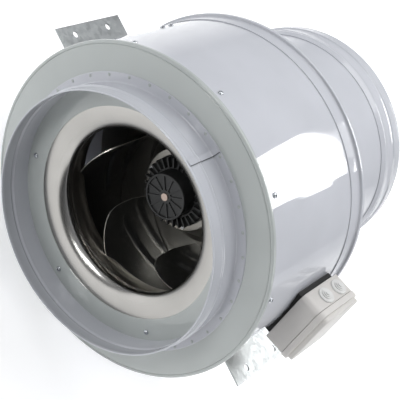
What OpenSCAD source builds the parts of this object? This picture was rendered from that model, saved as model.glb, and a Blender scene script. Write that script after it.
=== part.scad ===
// Inline duct fan: a sheet-metal drum with a round spigot at each end, a
// centrifugal impeller with backward-curved blades on an external-rotor motor,
// a terminal box and two side brackets.
// The fan's axis is +Y, the way the air goes, and +Z is up.
// The origin is the centre of the inlet spigot's mouth. Millimetres.
// Clock angles are seen from the inlet: 0 is +X, 90 is +Z.

/* [Spigots] */
// Outside diameter of both spigots
spigot_d = 398; // [370:1:480]
// Length of each spigot
spigot_len = 56; // [46:1:70]
// Length of the duct between the drum and the outlet spigot
duct_len = 186; // [120:1:230]
// How much smaller than the spigots the outlet duct is, on the radius
duct_step = 3.5; // [2.5:0.1:6]
// Thickness of the painted casing sheet
sheet = 1.5; // [1:0.1:2]
// Distance from a spigot's mouth to the middle of its bead
bead_at = 23; // [16:1:28]
// Width of the bead
bead_w = 8; // [6:0.5:10]
// Height of the bead
bead_h = 2.2; // [1.5:0.1:3]
// Width of the folded hem at the mouth
hem_w = 5; // [3:0.5:8]
// Thickness that the folded hem adds inside
hem_t = 0.8; // [0.5:0.1:1.2]
// Width of the flange that holds a spigot to its end plate
flange_w = 15; // [12:0.5:20]
// Number of rivets round each flange
flange_rivets = 36; // [24:1:48]
// Diameter of a rivet's head
rivet_head_d = 5; // [4:0.1:6]
// Clock angle of the lap seam in the spigots
seam_angle = 93; // [0:1:359]

/* [Drum] */
// Height of the drum's wall above the spigots, on the radius
drum_rise = 53; // [45:1:70]
// Length of the drum over its end plates
drum_len = 258; // [250:1:320]
// Height of the rolled lips above the drum
lip_h = 6.5; // [4:0.5:10]
// Width of the rolled lips
lip_w = 7; // [5:0.5:10]
// Length of the end plates' skirts along the drum
skirt_len = 32; // [31:1:40]
// Number of screws round the front of the drum
drum_screw_count = 10; // [6:1:16]
// Distance from the front end plate's face to the drum screws
drum_screw_at = 26; // [22:1:28]
// Clearance between sheets that slide together
sheet_gap = 0.2; // [0.1:0.05:0.3]

/* [Inlet nozzle] */
// Diameter of the nozzle's throat
throat_d = 257; // [214:1:300]
// Width of flat plate between the nozzle's screws and its bell
nozzle_land = 20; // [16:1:24]
// Distance from the spigot's inner wall to the nozzle's screw circle
nozzle_screw_in = 13; // [11:0.5:16]
// Depth of the bell from the end plate to the throat
bell_depth = 17; // [12:0.5:24]
// Length of the flare behind the throat
flare_len = 17; // [12:0.5:22]
// Growth of the flare, on the radius
flare_out = 5.5; // [3:0.5:8]
// Thickness of the nozzle's sheet
nozzle_t = 1.2; // [0.8:0.1:1.5]
// Number of screws that hold the nozzle
nozzle_screw_count = 6; // [4:1:8]

/* [Impeller] */
// Outside diameter of the impeller
impeller_d = 424; // [400:1:440]
// Number of blades
blade_count = 6; // [6:1:6]
// Blade angle to the circle
blade_angle = 26.6; // [22:0.2:33]
// Thickness of the blades and of the impeller's sheet
blade_t = 1.5; // [1:0.1:2]
// Radial clearance between the nozzle's exit and the shroud's eye
eye_gap = 3; // [2:0.5:5]
// How far the nozzle reaches into the eye
eye_lap = 4; // [2:0.5:6]
// Depth of the shroud's curve
shroud_depth = 66; // [55:1:75]
// Width of the impeller's outlet between shroud and back plate
outlet_w = 86; // [75:1:92]
// Radius of the blades' straight leading edge
lead_r = 106; // [100:1:112]

/* [Motor] */
// Diameter of the rotor can
can_d = 114; // [106:1:122]
// Length of the rotor can
can_len = 66; // [60:1:70]
// Diameter of the rotor's front cover
cover_d = 76; // [66:1:84]
// Distance from the cover's face back to the front of the can
cover_rise = 28; // [22:1:32]
// Diameter of the shaft
shaft_d = 12; // [10:0.5:14]
// Radial running clearance of the shaft in its bearings
shaft_fit = 0.02; // [0.01:0.005:0.04]
// Outside diameter of a bearing
bearing_d = 28; // [26:1:30]
// Width of a bearing
bearing_w = 8; // [7:0.5:9]
// Air gap between stator and rotor
air_gap = 0.5; // [0.4:0.1:0.8]
// Diameter of the motor's mounting flange
motor_flange_d = 104; // [96:1:110]
// Width of the support beam across the drum
beam_w = 70; // [60:1:80]

/* [Brackets] */
// Length of a bracket along the drum
ear_w = 149; // [120:1:170]
// Reach of the ears from the fan's axis past the drum's wall
ear_reach = 59; // [50:1:70]
// Distance below the axis of the ears' middle plane
ear_drop = 33.5; // [20:1:40]
// Thickness of the bracket plate
ear_t = 3; // [2:0.5:4]
// Distance between the two holes in an ear
hole_pitch = 78; // [60:1:100]
// Diameter of the holes in the ears
hole_d = 11; // [8:0.5:13]
// Distance from an ear's edge to its holes
hole_edge = 16; // [12:1:20]
// Distance from the front end plate to the middle of the brackets
ear_at = 159; // [120:1:170]

/* [Terminal box] */
// Clock angle of the box on the drum
box_angle = 19.3; // [15:0.2:25]
// Distance from the front end plate to the middle of the box
box_at = 167; // [130:1:180]
// Length of the box along the drum
box_len = 108; // [90:1:130]
// Width of the box round the drum
box_w = 110; // [92:1:120]
// Height of the box under its lid
box_h = 35; // [34:1:45]
// Height of the lid's rim
lid_rim_h = 10; // [8:0.5:14]
// Height of the raised panel on the lid
lid_panel_h = 8; // [5:0.5:10]
// Wall of the box
box_wall = 2.5; // [2:0.1:3]
// Radius of the box's upright corners
box_corner = 13; // [8:1:16]
// Gap between the box's floor and the drum at the middle
box_stand = 5; // [3:0.5:8]
// Diameter of the holes for the cable grommets
gland_hole_d = 20; // [16:0.5:22]
// Distance between the two cable grommets
gland_pitch = 37; // [32:1:44]

/* [Hidden] */
$fn = 96;
curve_steps = 12;
eps = 0.01;
cut = 1;

// Casing, worked out from the driving sizes
spigot_r = spigot_d / 2;
tube_r = spigot_r;
tube_in_r = tube_r - sheet;
drum_r = spigot_r + drum_rise;
drum_in_r = drum_r - sheet;
lip_r = drum_r + lip_h;
front_y = spigot_len;
rear_y = front_y + drum_len;
duct_r = spigot_r - duct_step;
duct_in_r = duct_r - sheet;
duct_end_y = rear_y + duct_len;
outlet_y = duct_end_y + spigot_len;
lap_len = 8;
rivet_out = 0.72;
rivet_circle_r = tube_r + flange_w * rivet_out;
duct_rivet_circle_r = duct_r + flange_w * rivet_out;
rivet_shank_d = 3;
rivet_head_h = 1;
screw_head_d = 8;
screw_head_h = 2.6;
screw_d = 4;
screw_hole_d = 4.4;
drum_screw_angle = 0.8;
nozzle_screw_angle = 37;
rivet_angle = 1.5;
earth_screw_angle = 155.8;
earth_screw_pitch = 20;
earth_screw_shift = -6;
groove_in = 5.5;
groove_w = 0.8;
groove_depth = 0.5;
seam_w = 0.6;
seam_depth = 0.5;

// Nozzle
throat_r = throat_d / 2;
nozzle_screw_r = tube_in_r - nozzle_screw_in;
bell_r = nozzle_screw_r - nozzle_land;
nozzle_flange_edge = 9;
nozzle_flange_r = nozzle_screw_r + nozzle_flange_edge;
plate_back_y = front_y + sheet;
throat_y = plate_back_y + bell_depth;
nozzle_exit_y = throat_y + flare_len;
nozzle_exit_r = throat_r + flare_out;

// Impeller
impeller_r = impeller_d / 2;
eye_r = nozzle_exit_r + nozzle_t + eye_gap;
eye_y = nozzle_exit_y - eye_lap;
eye_straight = 6;
shroud_bend_y = nozzle_exit_y + eye_straight;
shroud_end_y = shroud_bend_y + shroud_depth;
back_y = shroud_end_y + outlet_w;
can_r = can_d / 2;
can_y = back_y - can_len - 4;
hub_r = can_r + 0.8;
hub_top_y = can_y + 12;
cone_r = lead_r - 5;
blade_shift = 44.3;
nose_step = 2;
nose_depth = 97.5;
nose_y = back_y - nose_depth;
hub_screw_count = 6;
hub_screw_angle = 30;
hub_screw_r = hub_r + 4.5;
shroud_in = ellipse_pts(impeller_r, shroud_bend_y, impeller_r - eye_r, shroud_depth, 180, 90);
shroud_out = ellipse_off(impeller_r, shroud_bend_y, impeller_r - eye_r, shroud_depth, 180, 90,
    blade_t);

// Motor
cover_r = cover_d / 2;
cover_y = can_y - cover_rise;
shaft_r = shaft_d / 2;
can_wall = 4;
cage_t = 2.5;
stator_r = can_r - can_wall - cage_t - air_gap;
base_y = can_y + can_len + 6;
base_t = 8;
bush_r = bearing_d / 2 + 2.5;
bush_y = can_y + 12;
rear_bearing_y = base_y - bearing_w - 4;
core_len = 34;
core_y = can_y + 21;
support_y = base_y + base_t;
support_t = 3;
support_depth = 34;
fin_count = 30;
cover_rib_count = 12;
motor_screw_circle_r = 36;
motor_screw_count = 4;
support_screw_angle = 4;
support_screw_y = support_y + support_depth + 6;

// Terminal box
box_floor_r = drum_r + box_stand;
box_mid_y = front_y + box_at;
box_top_r = box_floor_r + box_h;
lid_top_r = box_top_r + lid_rim_h + lid_panel_h;
gland_up = 19;
gland_shift = 8;
lid_inset = 3.5;
lid_lap = 1.2;
lid_screw_in = 14;
gasket_inset = 9;
gasket_depth = 16;
cable_d = 8;
bush_hole_r = cable_d / 2 + 3;
box_screw_x = 34;
capacitor_r = 15;
capacitor_len = 60;
capacitor_gap = 4.5;
terminal_len = 64;
terminal_w = 16;
terminal_gap = 16.5;

// Brackets
ear_mid_y = front_y + ear_at;
ear_end_x = drum_r + ear_reach;
hole_x = ear_end_x - hole_edge;
foot_angle = 14;
foot_start = asin(ear_drop / drum_r);
bracket_rivet_angle = foot_start + 9;
bracket_rivet_d = 5;
foot_start_y = ear_mid_y - ear_w / 2;
foot_w = min(ear_w, rear_y - skirt_len - 2 - foot_start_y);
foot_mid_y = foot_start_y + foot_w / 2;
bracket_rivet_pitch = foot_w * 0.36;

// The cable leaves the stator's flange, lies along the support beam, runs along
// the drum's wall and passes through the bush into the terminal box.
cable_exit_x = bush_r + 6;
cable_in = drum_in_r - 7;
cable_angle = box_angle - 3;
cable_rise_y = support_y + support_t + 14;
cable_hole_x = 180;
cable_hole_r = 7;
cable_route = [[cable_exit_x, base_y + 1, 0], [cable_exit_x, support_y + support_t + 4, 0],
    [bush_r + 12, cable_rise_y - 2, 0], [bush_r + 26, cable_rise_y, 2],
    [110, cable_rise_y, 8], [158, cable_rise_y, 12], [174, cable_rise_y, 20],
    [cable_hole_x, cable_rise_y, beam_w / 2 - 4], [cable_hole_x + 2, cable_rise_y, beam_w / 2 + 6],
    [cable_in * cos(cable_angle) - 26, cable_rise_y - 6, cable_in * sin(cable_angle) - 10],
    [cable_in * cos(cable_angle) - 7, cable_rise_y - 15, cable_in * sin(cable_angle) - 2],
    [cable_in * cos(cable_angle), cable_rise_y - 28, cable_in * sin(cable_angle)],
    [cable_in * cos(cable_angle + 1), box_mid_y + 14, cable_in * sin(cable_angle + 1)],
    [(cable_in + 1) * cos(box_angle), box_mid_y + 4, (cable_in + 1) * sin(box_angle)],
    [(drum_r + 1) * cos(box_angle), box_mid_y, (drum_r + 1) * sin(box_angle)],
    [(box_floor_r + 12) * cos(box_angle), box_mid_y, (box_floor_r + 12) * sin(box_angle)]];

// ---------- helpers ----------

// Turns a shape round the fan's axis to a clock angle
module clock(a) { rotate([0, -a, 0]) children(); }

// Revolves points [radius, y] round the fan's axis
module turned(points) { rotate([-90, 0, 0]) rotate_extrude() polygon(points); }

// A cylinder along +Y
module rod(r, y0, y1) { translate([0, y0, 0]) rotate([-90, 0, 0]) cylinder(r = r, h = y1 - y0); }

// A ring along +Y
module ring(r_in, r_out, y0, y1) {
    turned([[r_in, y0], [r_out, y0], [r_out, y1], [r_in, y1]]);
}

// A cylinder that points outwards, from radius r0 to r1
module spoke(r, r0, r1) { translate([r0, 0, 0]) rotate([0, 90, 0]) cylinder(r = r, h = r1 - r0); }

// Points of an ellipse's quarter, from angle a0 to a1
function ellipse_pts(cr, cy, ar, ay, a0, a1) =
    [for (i = [0:curve_steps]) let (a = a0 + (a1 - a0) * i / curve_steps)
        [cr + ar * cos(a), cy + ay * sin(a)]];

// The same curve, pushed out along its normals by t
function ellipse_off(cr, cy, ar, ay, a0, a1, t) =
    [for (i = [0:curve_steps]) let (a = a0 + (a1 - a0) * i / curve_steps,
        nr = ay * cos(a), ny = ar * sin(a), n = sqrt(nr * nr + ny * ny))
        [cr + ar * cos(a) + t * nr / n, cy + ay * sin(a) + t * ny / n]];

// A raised bead on a tube's wall, as points [radius, y]
function bead_pts(r, y) =
    [for (i = [0:8]) [r + bead_h * (1 - cos(45 * i)) / 2, y - bead_w / 2 + bead_w * i / 8]];

function reversed(list) = [for (i = [len(list) - 1:-1:0]) list[i]];

// A pan-head screw that points inwards; its head sits on radius r
module radial_screw(r, len) {
    spoke(screw_d / 2, r - len, r + eps);
    translate([r, 0, 0]) rotate([0, 90, 0]) rotate([0, 0, 90]) rotate_extrude()
        polygon([[0, 0], [screw_head_d / 2, 0], [screw_head_d / 2, 1.2],
            [screw_head_d / 2 - 1.2, screw_head_h], [0, screw_head_h]]);
}

// A rivet through two sheets, along +Y, with its head on the plane y
module flange_rivet(y, dir) {
    translate([0, y, 0]) rotate([-90 * dir, 0, 0]) rotate_extrude()
        polygon([[0, -rivet_head_h], [rivet_head_d / 2 - 1, -rivet_head_h], [rivet_head_d / 2, 0],
            [rivet_shank_d / 2, 0], [rivet_shank_d / 2, 2 * sheet],
            [rivet_head_d / 2, 2 * sheet], [rivet_head_d / 2 - 1, 2 * sheet + rivet_head_h],
            [0, 2 * sheet + rivet_head_h]]);
}

// Places things on the flange's rivet circle
module on_rivets(r) {
    for (i = [0:flange_rivets - 1]) clock(rivet_angle + i * 360 / flange_rivets)
        translate([r, 0, 0]) children();
}

module rivet_holes(r, y0, y1) {
    on_rivets(r) rod(rivet_shank_d / 2 + 0.05, y0 - cut, y1 + cut);
}

module on_drum_screws() {
    for (i = [0:drum_screw_count - 1])
        clock(drum_screw_angle + i * 360 / drum_screw_count) children();
}

module on_nozzle_screws() {
    for (i = [0:nozzle_screw_count - 1])
        clock(nozzle_screw_angle + i * 360 / nozzle_screw_count)
            translate([nozzle_screw_r, 0, 0]) children();
}

// Puts a shape on the terminal box's floor: x along the drum, y round it, z outwards
module on_box() {
    clock(box_angle) translate([box_floor_r, box_mid_y, 0])
        multmatrix([[0, 0, 1, 0], [1, 0, 0, 0], [0, 1, 0, 0], [0, 0, 0, 1]]) children();
}

// A rectangle with round corners, centred
module round_rect(l, w, r) {
    square([l - 2 * r, w], center = true);
    square([l, w - 2 * r], center = true);
    for (sx = [-1, 1], sy = [-1, 1])
        translate([sx * (l / 2 - r), sy * (w / 2 - r)]) circle(r = r);
}

// ---------- casing ----------

module spigot_wall(mouth_y, base_y, dir) {
    outer = concat([for (p = bead_pts(tube_r, 0)) [p[0], mouth_y + dir * (bead_at + p[1])]],
        [[tube_r, base_y]]);
    inner = concat([[tube_in_r - hem_t, mouth_y], [tube_in_r - hem_t, mouth_y + dir * hem_w],
            [tube_in_r, mouth_y + dir * (hem_w + hem_t)]],
        [for (p = bead_pts(tube_in_r, 0)) [p[0], mouth_y + dir * (bead_at + p[1])]],
        [[tube_in_r, base_y]]);
    turned(concat([[tube_r - 0.4, mouth_y], [tube_r, mouth_y + dir * 0.4]], outer, reversed(inner)));
}

module inlet_spigot() {
    color("lightslategray") difference() {
        union() {
            spigot_wall(0, front_y, 1);
            ring(tube_r - eps, tube_r + flange_w, front_y - sheet, front_y);
        }
        rivet_holes(rivet_circle_r, front_y - sheet, front_y);
        clock(seam_angle) translate([tube_r - seam_depth, hem_w + cut, -seam_w / 2])
            cube([flange_w + cut * 4, front_y, seam_w]);
    }
}

module inlet_flange_rivets() {
    color("silver") on_rivets(rivet_circle_r) flange_rivet(front_y - sheet, 1);
}

module front_end_plate() {
    lip_in = drum_r + sheet_gap;
    skirt_r = drum_in_r - sheet_gap;
    groove_r = lip_r - groove_in;
    color("lightslategray") difference() {
        turned([[bell_r, plate_back_y], [bell_r, front_y],
            [groove_r - groove_w / 2, front_y], [groove_r - groove_w / 2, front_y + groove_depth],
            [groove_r + groove_w / 2, front_y + groove_depth], [groove_r + groove_w / 2, front_y],
            [lip_r - 2, front_y], [lip_r - 0.6, front_y + 0.6], [lip_r, front_y + 2],
            [lip_r, front_y + lip_w - 2], [lip_r - 0.6, front_y + lip_w - 0.6],
            [lip_r - 2, front_y + lip_w],
            [lip_in, front_y + lip_w], [lip_in, plate_back_y], [skirt_r, plate_back_y],
            [skirt_r, front_y + skirt_len], [skirt_r - sheet, front_y + skirt_len],
            [skirt_r - sheet, plate_back_y]]);
        rivet_holes(rivet_circle_r, front_y, plate_back_y);
        on_nozzle_screws() rod(screw_hole_d / 2, front_y - cut, plate_back_y + cut);
        on_drum_screws() translate([0, front_y + drum_screw_at, 0])
            spoke(screw_hole_d / 2, drum_in_r - 4, drum_r + cut);
    }
}

module drum_casing() {
    color("lightsteelblue") difference() {
        ring(drum_in_r, drum_r, plate_back_y + sheet_gap, rear_y - sheet - sheet_gap);
        on_drum_screws() translate([0, front_y + drum_screw_at, 0])
            spoke(screw_hole_d / 2, drum_in_r - cut, drum_r + cut);
        on_support_screws() spoke(screw_hole_d / 2, drum_in_r - 6, drum_r + cut);
        for (side = [0, 1]) on_bracket_rivets(side)
            spoke(bracket_rivet_d / 2 + 0.05, drum_in_r - cut, drum_r + cut);
        clock(box_angle) translate([0, box_mid_y, 0])
            spoke(bush_hole_r, drum_in_r - cut, drum_r + cut);
        box_screw_places() spoke(screw_hole_d / 2, drum_in_r - 6, drum_r + cut);
        earth_screw_places() spoke(screw_hole_d / 2, drum_in_r - cut, drum_r + cut);
    }
}

module drum_screws() {
    color("gainsboro") on_drum_screws() translate([0, front_y + drum_screw_at, 0])
        radial_screw(drum_r, 9);
}

module rear_end_plate() {
    lip_in = drum_r + sheet_gap;
    lip_y = rear_y - lip_w;
    color("lightsteelblue") difference() {
        turned([[duct_in_r, rear_y], [duct_in_r, rear_y - sheet], [lip_in, rear_y - sheet],
            [lip_in, rear_y - skirt_len], [lip_in + sheet, rear_y - skirt_len],
            [lip_in + sheet, lip_y - 2], [lip_in + sheet + 1, lip_y], [lip_r - 1.5, lip_y],
            [lip_r, lip_y + 1.5], [lip_r, rear_y - 1.5], [lip_r - 1.5, rear_y]]);
        rivet_holes(duct_rivet_circle_r, rear_y - sheet, rear_y);
        on_support_screws() spoke(screw_hole_d / 2, drum_r - cut, drum_r + 4);
    }
}

module outlet_duct() {
    end_y = duct_end_y + lap_len;
    color("lightsteelblue") difference() {
        union() {
            ring(duct_in_r, duct_r, rear_y, end_y);
            ring(duct_r - eps, duct_r + flange_w, rear_y, rear_y + sheet);
        }
        rivet_holes(duct_rivet_circle_r, rear_y, rear_y + sheet);
    }
}

module outlet_duct_rivets() {
    color("silver") on_rivets(duct_rivet_circle_r) flange_rivet(rear_y + sheet, -1);
}

module outlet_spigot() {
    sleeve_in = duct_r + sheet_gap;
    sleeve_y = duct_end_y - lap_len;
    color("lightsteelblue") union() {
        spigot_wall(outlet_y, duct_end_y + lap_len, -1);
        turned([[sleeve_in, sleeve_y], [sleeve_in + sheet, sleeve_y],
            [tube_r + 1.5, duct_end_y - 2], [tube_r + 1.5, duct_end_y + 2],
            [tube_r, duct_end_y + lap_len], [tube_in_r, duct_end_y + lap_len + eps],
            [tube_in_r, duct_end_y + lap_len], [sleeve_in, duct_end_y + lap_len - 1]]);
    }
}

// ---------- inlet nozzle ----------

module inlet_nozzle() {
    ar = bell_r - throat_r;
    bell_in = ellipse_pts(bell_r, throat_y, -ar, -bell_depth, 90, 0);
    bell_out = ellipse_off(bell_r, throat_y, -ar, -bell_depth, 90, 0, -nozzle_t);
    color("silver") difference() {
        turned(concat([[nozzle_flange_r, plate_back_y + nozzle_t], [nozzle_flange_r, plate_back_y]],
            bell_in, [[nozzle_exit_r, nozzle_exit_y], [nozzle_exit_r + nozzle_t, nozzle_exit_y]],
            reversed([for (p = bell_out) [p[0], max(p[1], plate_back_y + nozzle_t)]])));
        on_nozzle_screws() rod(screw_hole_d / 2, plate_back_y - cut, plate_back_y + nozzle_t + cut);
    }
}

module nozzle_screws() {
    color("gainsboro") on_nozzle_screws() {
        rod(screw_d / 2, front_y, front_y + 10);
        translate([0, front_y, 0]) rotate([90, 0, 0]) rotate_extrude()
            polygon([[0, 0], [screw_head_d / 2, 0], [screw_head_d / 2, 1.2],
                [screw_head_d / 2 - 1.2, screw_head_h], [0, screw_head_h]]);
    }
}

// ---------- impeller ----------

module impeller_shroud() {
    color("darkgray") turned(concat([[eye_r, eye_y]], shroud_in, reversed(shroud_out),
        [[eye_r - blade_t, eye_y]]));
}

// Space that a blade fills, as points [radius, y]: leading edge, back plate, shroud
function blade_region() = let (nose = shroud_out[nose_step]) concat(
    ellipse_pts(nose[0], nose_y, lead_r - nose[0], nose[1] - nose_y, 90, 0),
    [[lead_r + 3, back_y - 6], [cone_r + 10, back_y], [impeller_r, back_y]],
    [for (i = [len(shroud_out) - 1:-1:nose_step + 1]) shroud_out[i]]);

// A blade's middle line: a logarithmic spiral that keeps its angle to the circle
function spiral_pt(r, side) =
    let (a = (ln(r / (eye_r - 1.5)) / tan(blade_angle)) * 180 / PI,
         nx = cos(a + 90 - blade_angle + 90), ny = sin(a + 90 - blade_angle + 90))
        [r * cos(a) + side * nx * blade_t / 2, r * sin(a) + side * ny * blade_t / 2];

module impeller_blade(i) {
    radii = [for (k = [0:16]) lead_r - 4 + (impeller_r + 3 - lead_r) * k / 16];
    strip = concat([for (r = radii) spiral_pt(r, 1)], reversed([for (r = radii) spiral_pt(r, -1)]));
    color("dimgray") intersection() {
        clock(blade_shift + i * 360 / blade_count) mirror([0, 0, 1]) rotate([-90, 0, 0])
            translate([0, 0, eye_y]) linear_extrude(height = back_y - eye_y) polygon(strip);
        turned(blade_region());
    }
}

module impeller_blade_1() { impeller_blade(0); }
module impeller_blade_2() { impeller_blade(1); }
module impeller_blade_3() { impeller_blade(2); }
module impeller_blade_4() { impeller_blade(3); }
module impeller_blade_5() { impeller_blade(4); }
module impeller_blade_6() { impeller_blade(5); }

module impeller_back_plate() {
    color("silver") difference() {
        turned([[hub_r, hub_top_y], [hub_r + 9, hub_top_y],
            [cone_r - 4, back_y - 5], [cone_r + 7, back_y],
            [impeller_r, back_y], [impeller_r, back_y + blade_t], [cone_r + 6, back_y + blade_t],
            [cone_r - 5.5, back_y - 4], [hub_r + 8, hub_top_y + blade_t],
            [hub_r, hub_top_y + blade_t]]);
        on_hub_screws() rod(1.6, hub_top_y - cut, hub_top_y + cut + blade_t);
    }
}

module on_hub_screws() {
    for (i = [0:hub_screw_count - 1]) clock(hub_screw_angle + i * 360 / hub_screw_count)
        translate([hub_screw_r, 0, 0]) children();
}

module impeller_screws() {
    color("gainsboro") on_hub_screws() {
        rod(1.5, hub_top_y, hub_top_y + blade_t + 4);
        rod(2.8, hub_top_y - 2, hub_top_y);
    }
}

// ---------- rotor ----------

module rotor_can() {
    color("#2b2d2c") difference() {
        union() {
            turned([[shaft_r, can_y], [can_r - 3, can_y], [can_r, can_y + 3],
                [can_r, hub_top_y + blade_t], [hub_r + 7, hub_top_y + blade_t],
                [hub_r + 7, hub_top_y + blade_t + 5], [can_r, hub_top_y + blade_t + 8],
                [can_r, can_y + can_len], [can_r - can_wall, can_y + can_len],
                [can_r - can_wall, can_y + 6], [shaft_r, can_y + 6]]);
            ring(shaft_r, shaft_r + 7, cover_y + 8, can_y + eps);
            for (i = [0:fin_count - 1]) clock(i * 360 / fin_count)
                translate([cover_r + 3, can_y - 7, -1]) cube([can_r - cover_r - 3, 7 + eps, 2]);
        }
        on_hub_screws() rod(1.6, hub_top_y, hub_top_y + blade_t + 4 + cut);
    }
}

module rotor_cover() {
    rim_r = cover_r;
    color("#333534") union() {
        turned([[shaft_r, cover_y + 3], [rim_r - 4, cover_y + 3], [rim_r - 4, cover_y],
            [rim_r - 1, cover_y], [rim_r, cover_y + 1.5], [rim_r, can_y], [rim_r - 3, can_y],
            [rim_r - 3, cover_y + 7], [shaft_r, cover_y + 7]]);
        ring(shaft_r, shaft_r + 5, cover_y + 1, cover_y + 3 + eps);
        for (i = [0:cover_rib_count - 1]) clock(i * 360 / cover_rib_count)
            translate([shaft_r + 4, cover_y + 1, -1.2]) cube([rim_r - 7 - shaft_r, 2 + eps, 2.4]);
    }
}

module rotor_cage() {
    color("#6c6f72")
        ring(can_r - can_wall - cage_t, can_r - can_wall, core_y - 3, core_y + core_len + 3);
}

module motor_shaft() {
    color("peru") rod(shaft_r, cover_y - 1, base_y + base_t - 4);
}

module shaft_clip() {
    color("gray") ring(shaft_r, shaft_r + 3, base_y - 2.8, base_y - 1.6);
}

// ---------- stator ----------

module bearing(y) {
    color("lightgray") ring(shaft_r + shaft_fit, bearing_d / 2, y, y + bearing_w);
}

module front_bearing() { bearing(bush_y); }
module rear_bearing() { bearing(rear_bearing_y); }

module stator_core() {
    slot_count = 24;
    color("#8d8f93") difference() {
        ring(bush_r, stator_r, core_y, core_y + core_len);
        for (i = [0:slot_count - 1]) clock(i * 360 / slot_count)
            translate([stator_r - 12, core_y - cut, -1.2]) cube([14, core_len + 2 * cut, 2.4]);
    }
}

module winding(y0, y1) {
    turned([[bush_r + 6, y0], [stator_r - 6, y0], [stator_r - 3, y0 + 2], [stator_r - 3, y1 - 2],
        [stator_r - 6, y1], [bush_r + 6, y1], [bush_r + 4, y1 - 2], [bush_r + 4, y0 + 2]]);
}

module stator_windings() {
    color("#a5653a") {
        winding(core_y - 10, core_y);
        winding(core_y + core_len, core_y + core_len + 8);
    }
}

module stator_base() {
    flange_r = motor_flange_d / 2;
    bearing_r = bearing_d / 2;
    color("#9ea2a5") difference() {
        turned([[bearing_r, bush_y], [bush_r, bush_y], [bush_r, base_y], [flange_r, base_y],
            [flange_r, base_y + base_t], [shaft_r + 1, base_y + base_t], [shaft_r + 1, base_y],
            [bearing_r - 2, base_y - 1], [bearing_r - 2, base_y - 4],
            [bearing_r, base_y - 4], [bearing_r, rear_bearing_y],
            [bearing_r - 2, rear_bearing_y], [bearing_r - 2, bush_y + bearing_w],
            [bearing_r, bush_y + bearing_w]]);
        on_motor_screws() rod(2.7, base_y - cut, base_y + base_t + cut);
        translate([cable_exit_x, 0, 0])
            rod(cable_d / 2 + 0.5, base_y - cut, base_y + base_t + cut);
    }
}

module on_motor_screws() {
    for (i = [0:motor_screw_count - 1]) clock(45 + i * 360 / motor_screw_count)
        translate([motor_screw_circle_r, 0, 0]) children();
}

module motor_screws() {
    color("gainsboro") on_motor_screws() {
        rod(2.6, base_y + 1, support_y + support_t);
        translate([0, support_y + support_t, 0]) rotate([-90, 0, 0]) cylinder(r = 5, h = 4, $fn = 6);
    }
}

// ---------- motor support ----------

module motor_support() {
    half = beam_w / 2;
    pad_r = drum_in_r - sheet_gap;
    pad_end_y = support_screw_y + 10;
    color("#b8bcc0") difference() {
        union() {
            intersection() {
                union() {
                    translate([-pad_r, support_y, -half]) cube([2 * pad_r, support_t, beam_w]);
                    for (z = [-half, half - support_t]) translate([-pad_r, support_y, z])
                        cube([2 * pad_r, support_depth, support_t]);
                }
                rod(pad_r, support_y - cut, support_y + support_depth + cut);
            }
            intersection() {
                ring(pad_r - support_t, pad_r, support_y, pad_end_y);
                translate([-pad_r, support_y - cut, -half])
                    cube([2 * pad_r, support_depth + 40, beam_w]);
            }
        }
        on_motor_screws() rod(2.7, support_y - cut, support_y + support_t + cut);
        rod(shaft_r + 4, support_y - cut, support_y + support_t + cut);
        translate([cable_exit_x, 0, 0])
            rod(cable_d / 2 + 0.5, support_y - cut, support_y + support_t + cut);
        translate([cable_hole_x, cable_rise_y, half - support_t - cut])
            cylinder(r = cable_hole_r, h = support_t + 2 * cut);
        on_support_screws() spoke(screw_hole_d / 2, pad_r - 6, pad_r + cut);
    }
}

// Screws that point at the axis, two on each side of the drum
module on_support_screws() {
    for (side = [0, 180], k = [-1, 1]) clock(side + k * support_screw_angle)
        translate([0, support_screw_y, 0]) children();
}

module support_screws() {
    color("gainsboro") on_support_screws() radial_screw(drum_r + sheet_gap + sheet, 10);
}

// ---------- brackets ----------

module on_bracket_rivets(side) {
    for (k = [-1:1]) clock(side == 0 ? -bracket_rivet_angle : 180 + bracket_rivet_angle)
        translate([0, foot_mid_y + k * bracket_rivet_pitch, 0]) children();
}

// The right-hand bracket: a flat ear and a foot rolled to the drum
module bracket_body() {
    foot_r = drum_r + sheet_gap;
    z0 = -ear_drop - ear_t / 2;
    root_x = sqrt(foot_r * foot_r - pow(ear_drop - ear_t / 2, 2));
    difference() {
        union() {
            translate([root_x, ear_mid_y - ear_w / 2, z0]) cube([ear_end_x - root_x, ear_w, ear_t]);
            clock(-foot_start - foot_angle) translate([0, foot_start_y, 0]) rotate([-90, 0, 0])
                rotate([0, 0, -foot_angle]) rotate_extrude(angle = foot_angle)
                    translate([foot_r, 0]) square([ear_t, foot_w]);
        }
        ring(drum_r - cut, foot_r + sheet + 0.3, rear_y - skirt_len - 1, rear_y);
        for (k = [-1, 1]) translate([hole_x, ear_mid_y + k * hole_pitch / 2, z0 - cut])
            cylinder(r = hole_d / 2, h = ear_t + 2 * cut);
        on_bracket_rivets(0) spoke(bracket_rivet_d / 2 + 0.05, drum_r - cut, drum_r + 6);
    }
}

module right_bracket() { color("gainsboro") bracket_body(); }
module left_bracket() { color("gainsboro") mirror([1, 0, 0]) bracket_body(); }

module bracket_rivets() {
    head_r = drum_r + sheet_gap + ear_t;
    color("silver") for (side = [0, 1]) on_bracket_rivets(side) {
        spoke(bracket_rivet_d / 2, drum_in_r - 3, head_r + eps);
        spoke(bracket_rivet_d / 2 + 1.8, drum_in_r - 5, drum_in_r - 0.4);
        translate([head_r + 0.1, 0, 0]) rotate([0, 90, 0]) rotate_extrude()
            polygon([[0, -0.2], [4.8, 0], [4.8, 0.6], [3, 2], [0, 2.4]]);
    }
}

// ---------- terminal box ----------

module box_screw_places() {
    for (s = [-1, 1]) clock(box_angle) translate([0, box_mid_y + s * box_screw_x, 0]) children();
}

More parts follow.
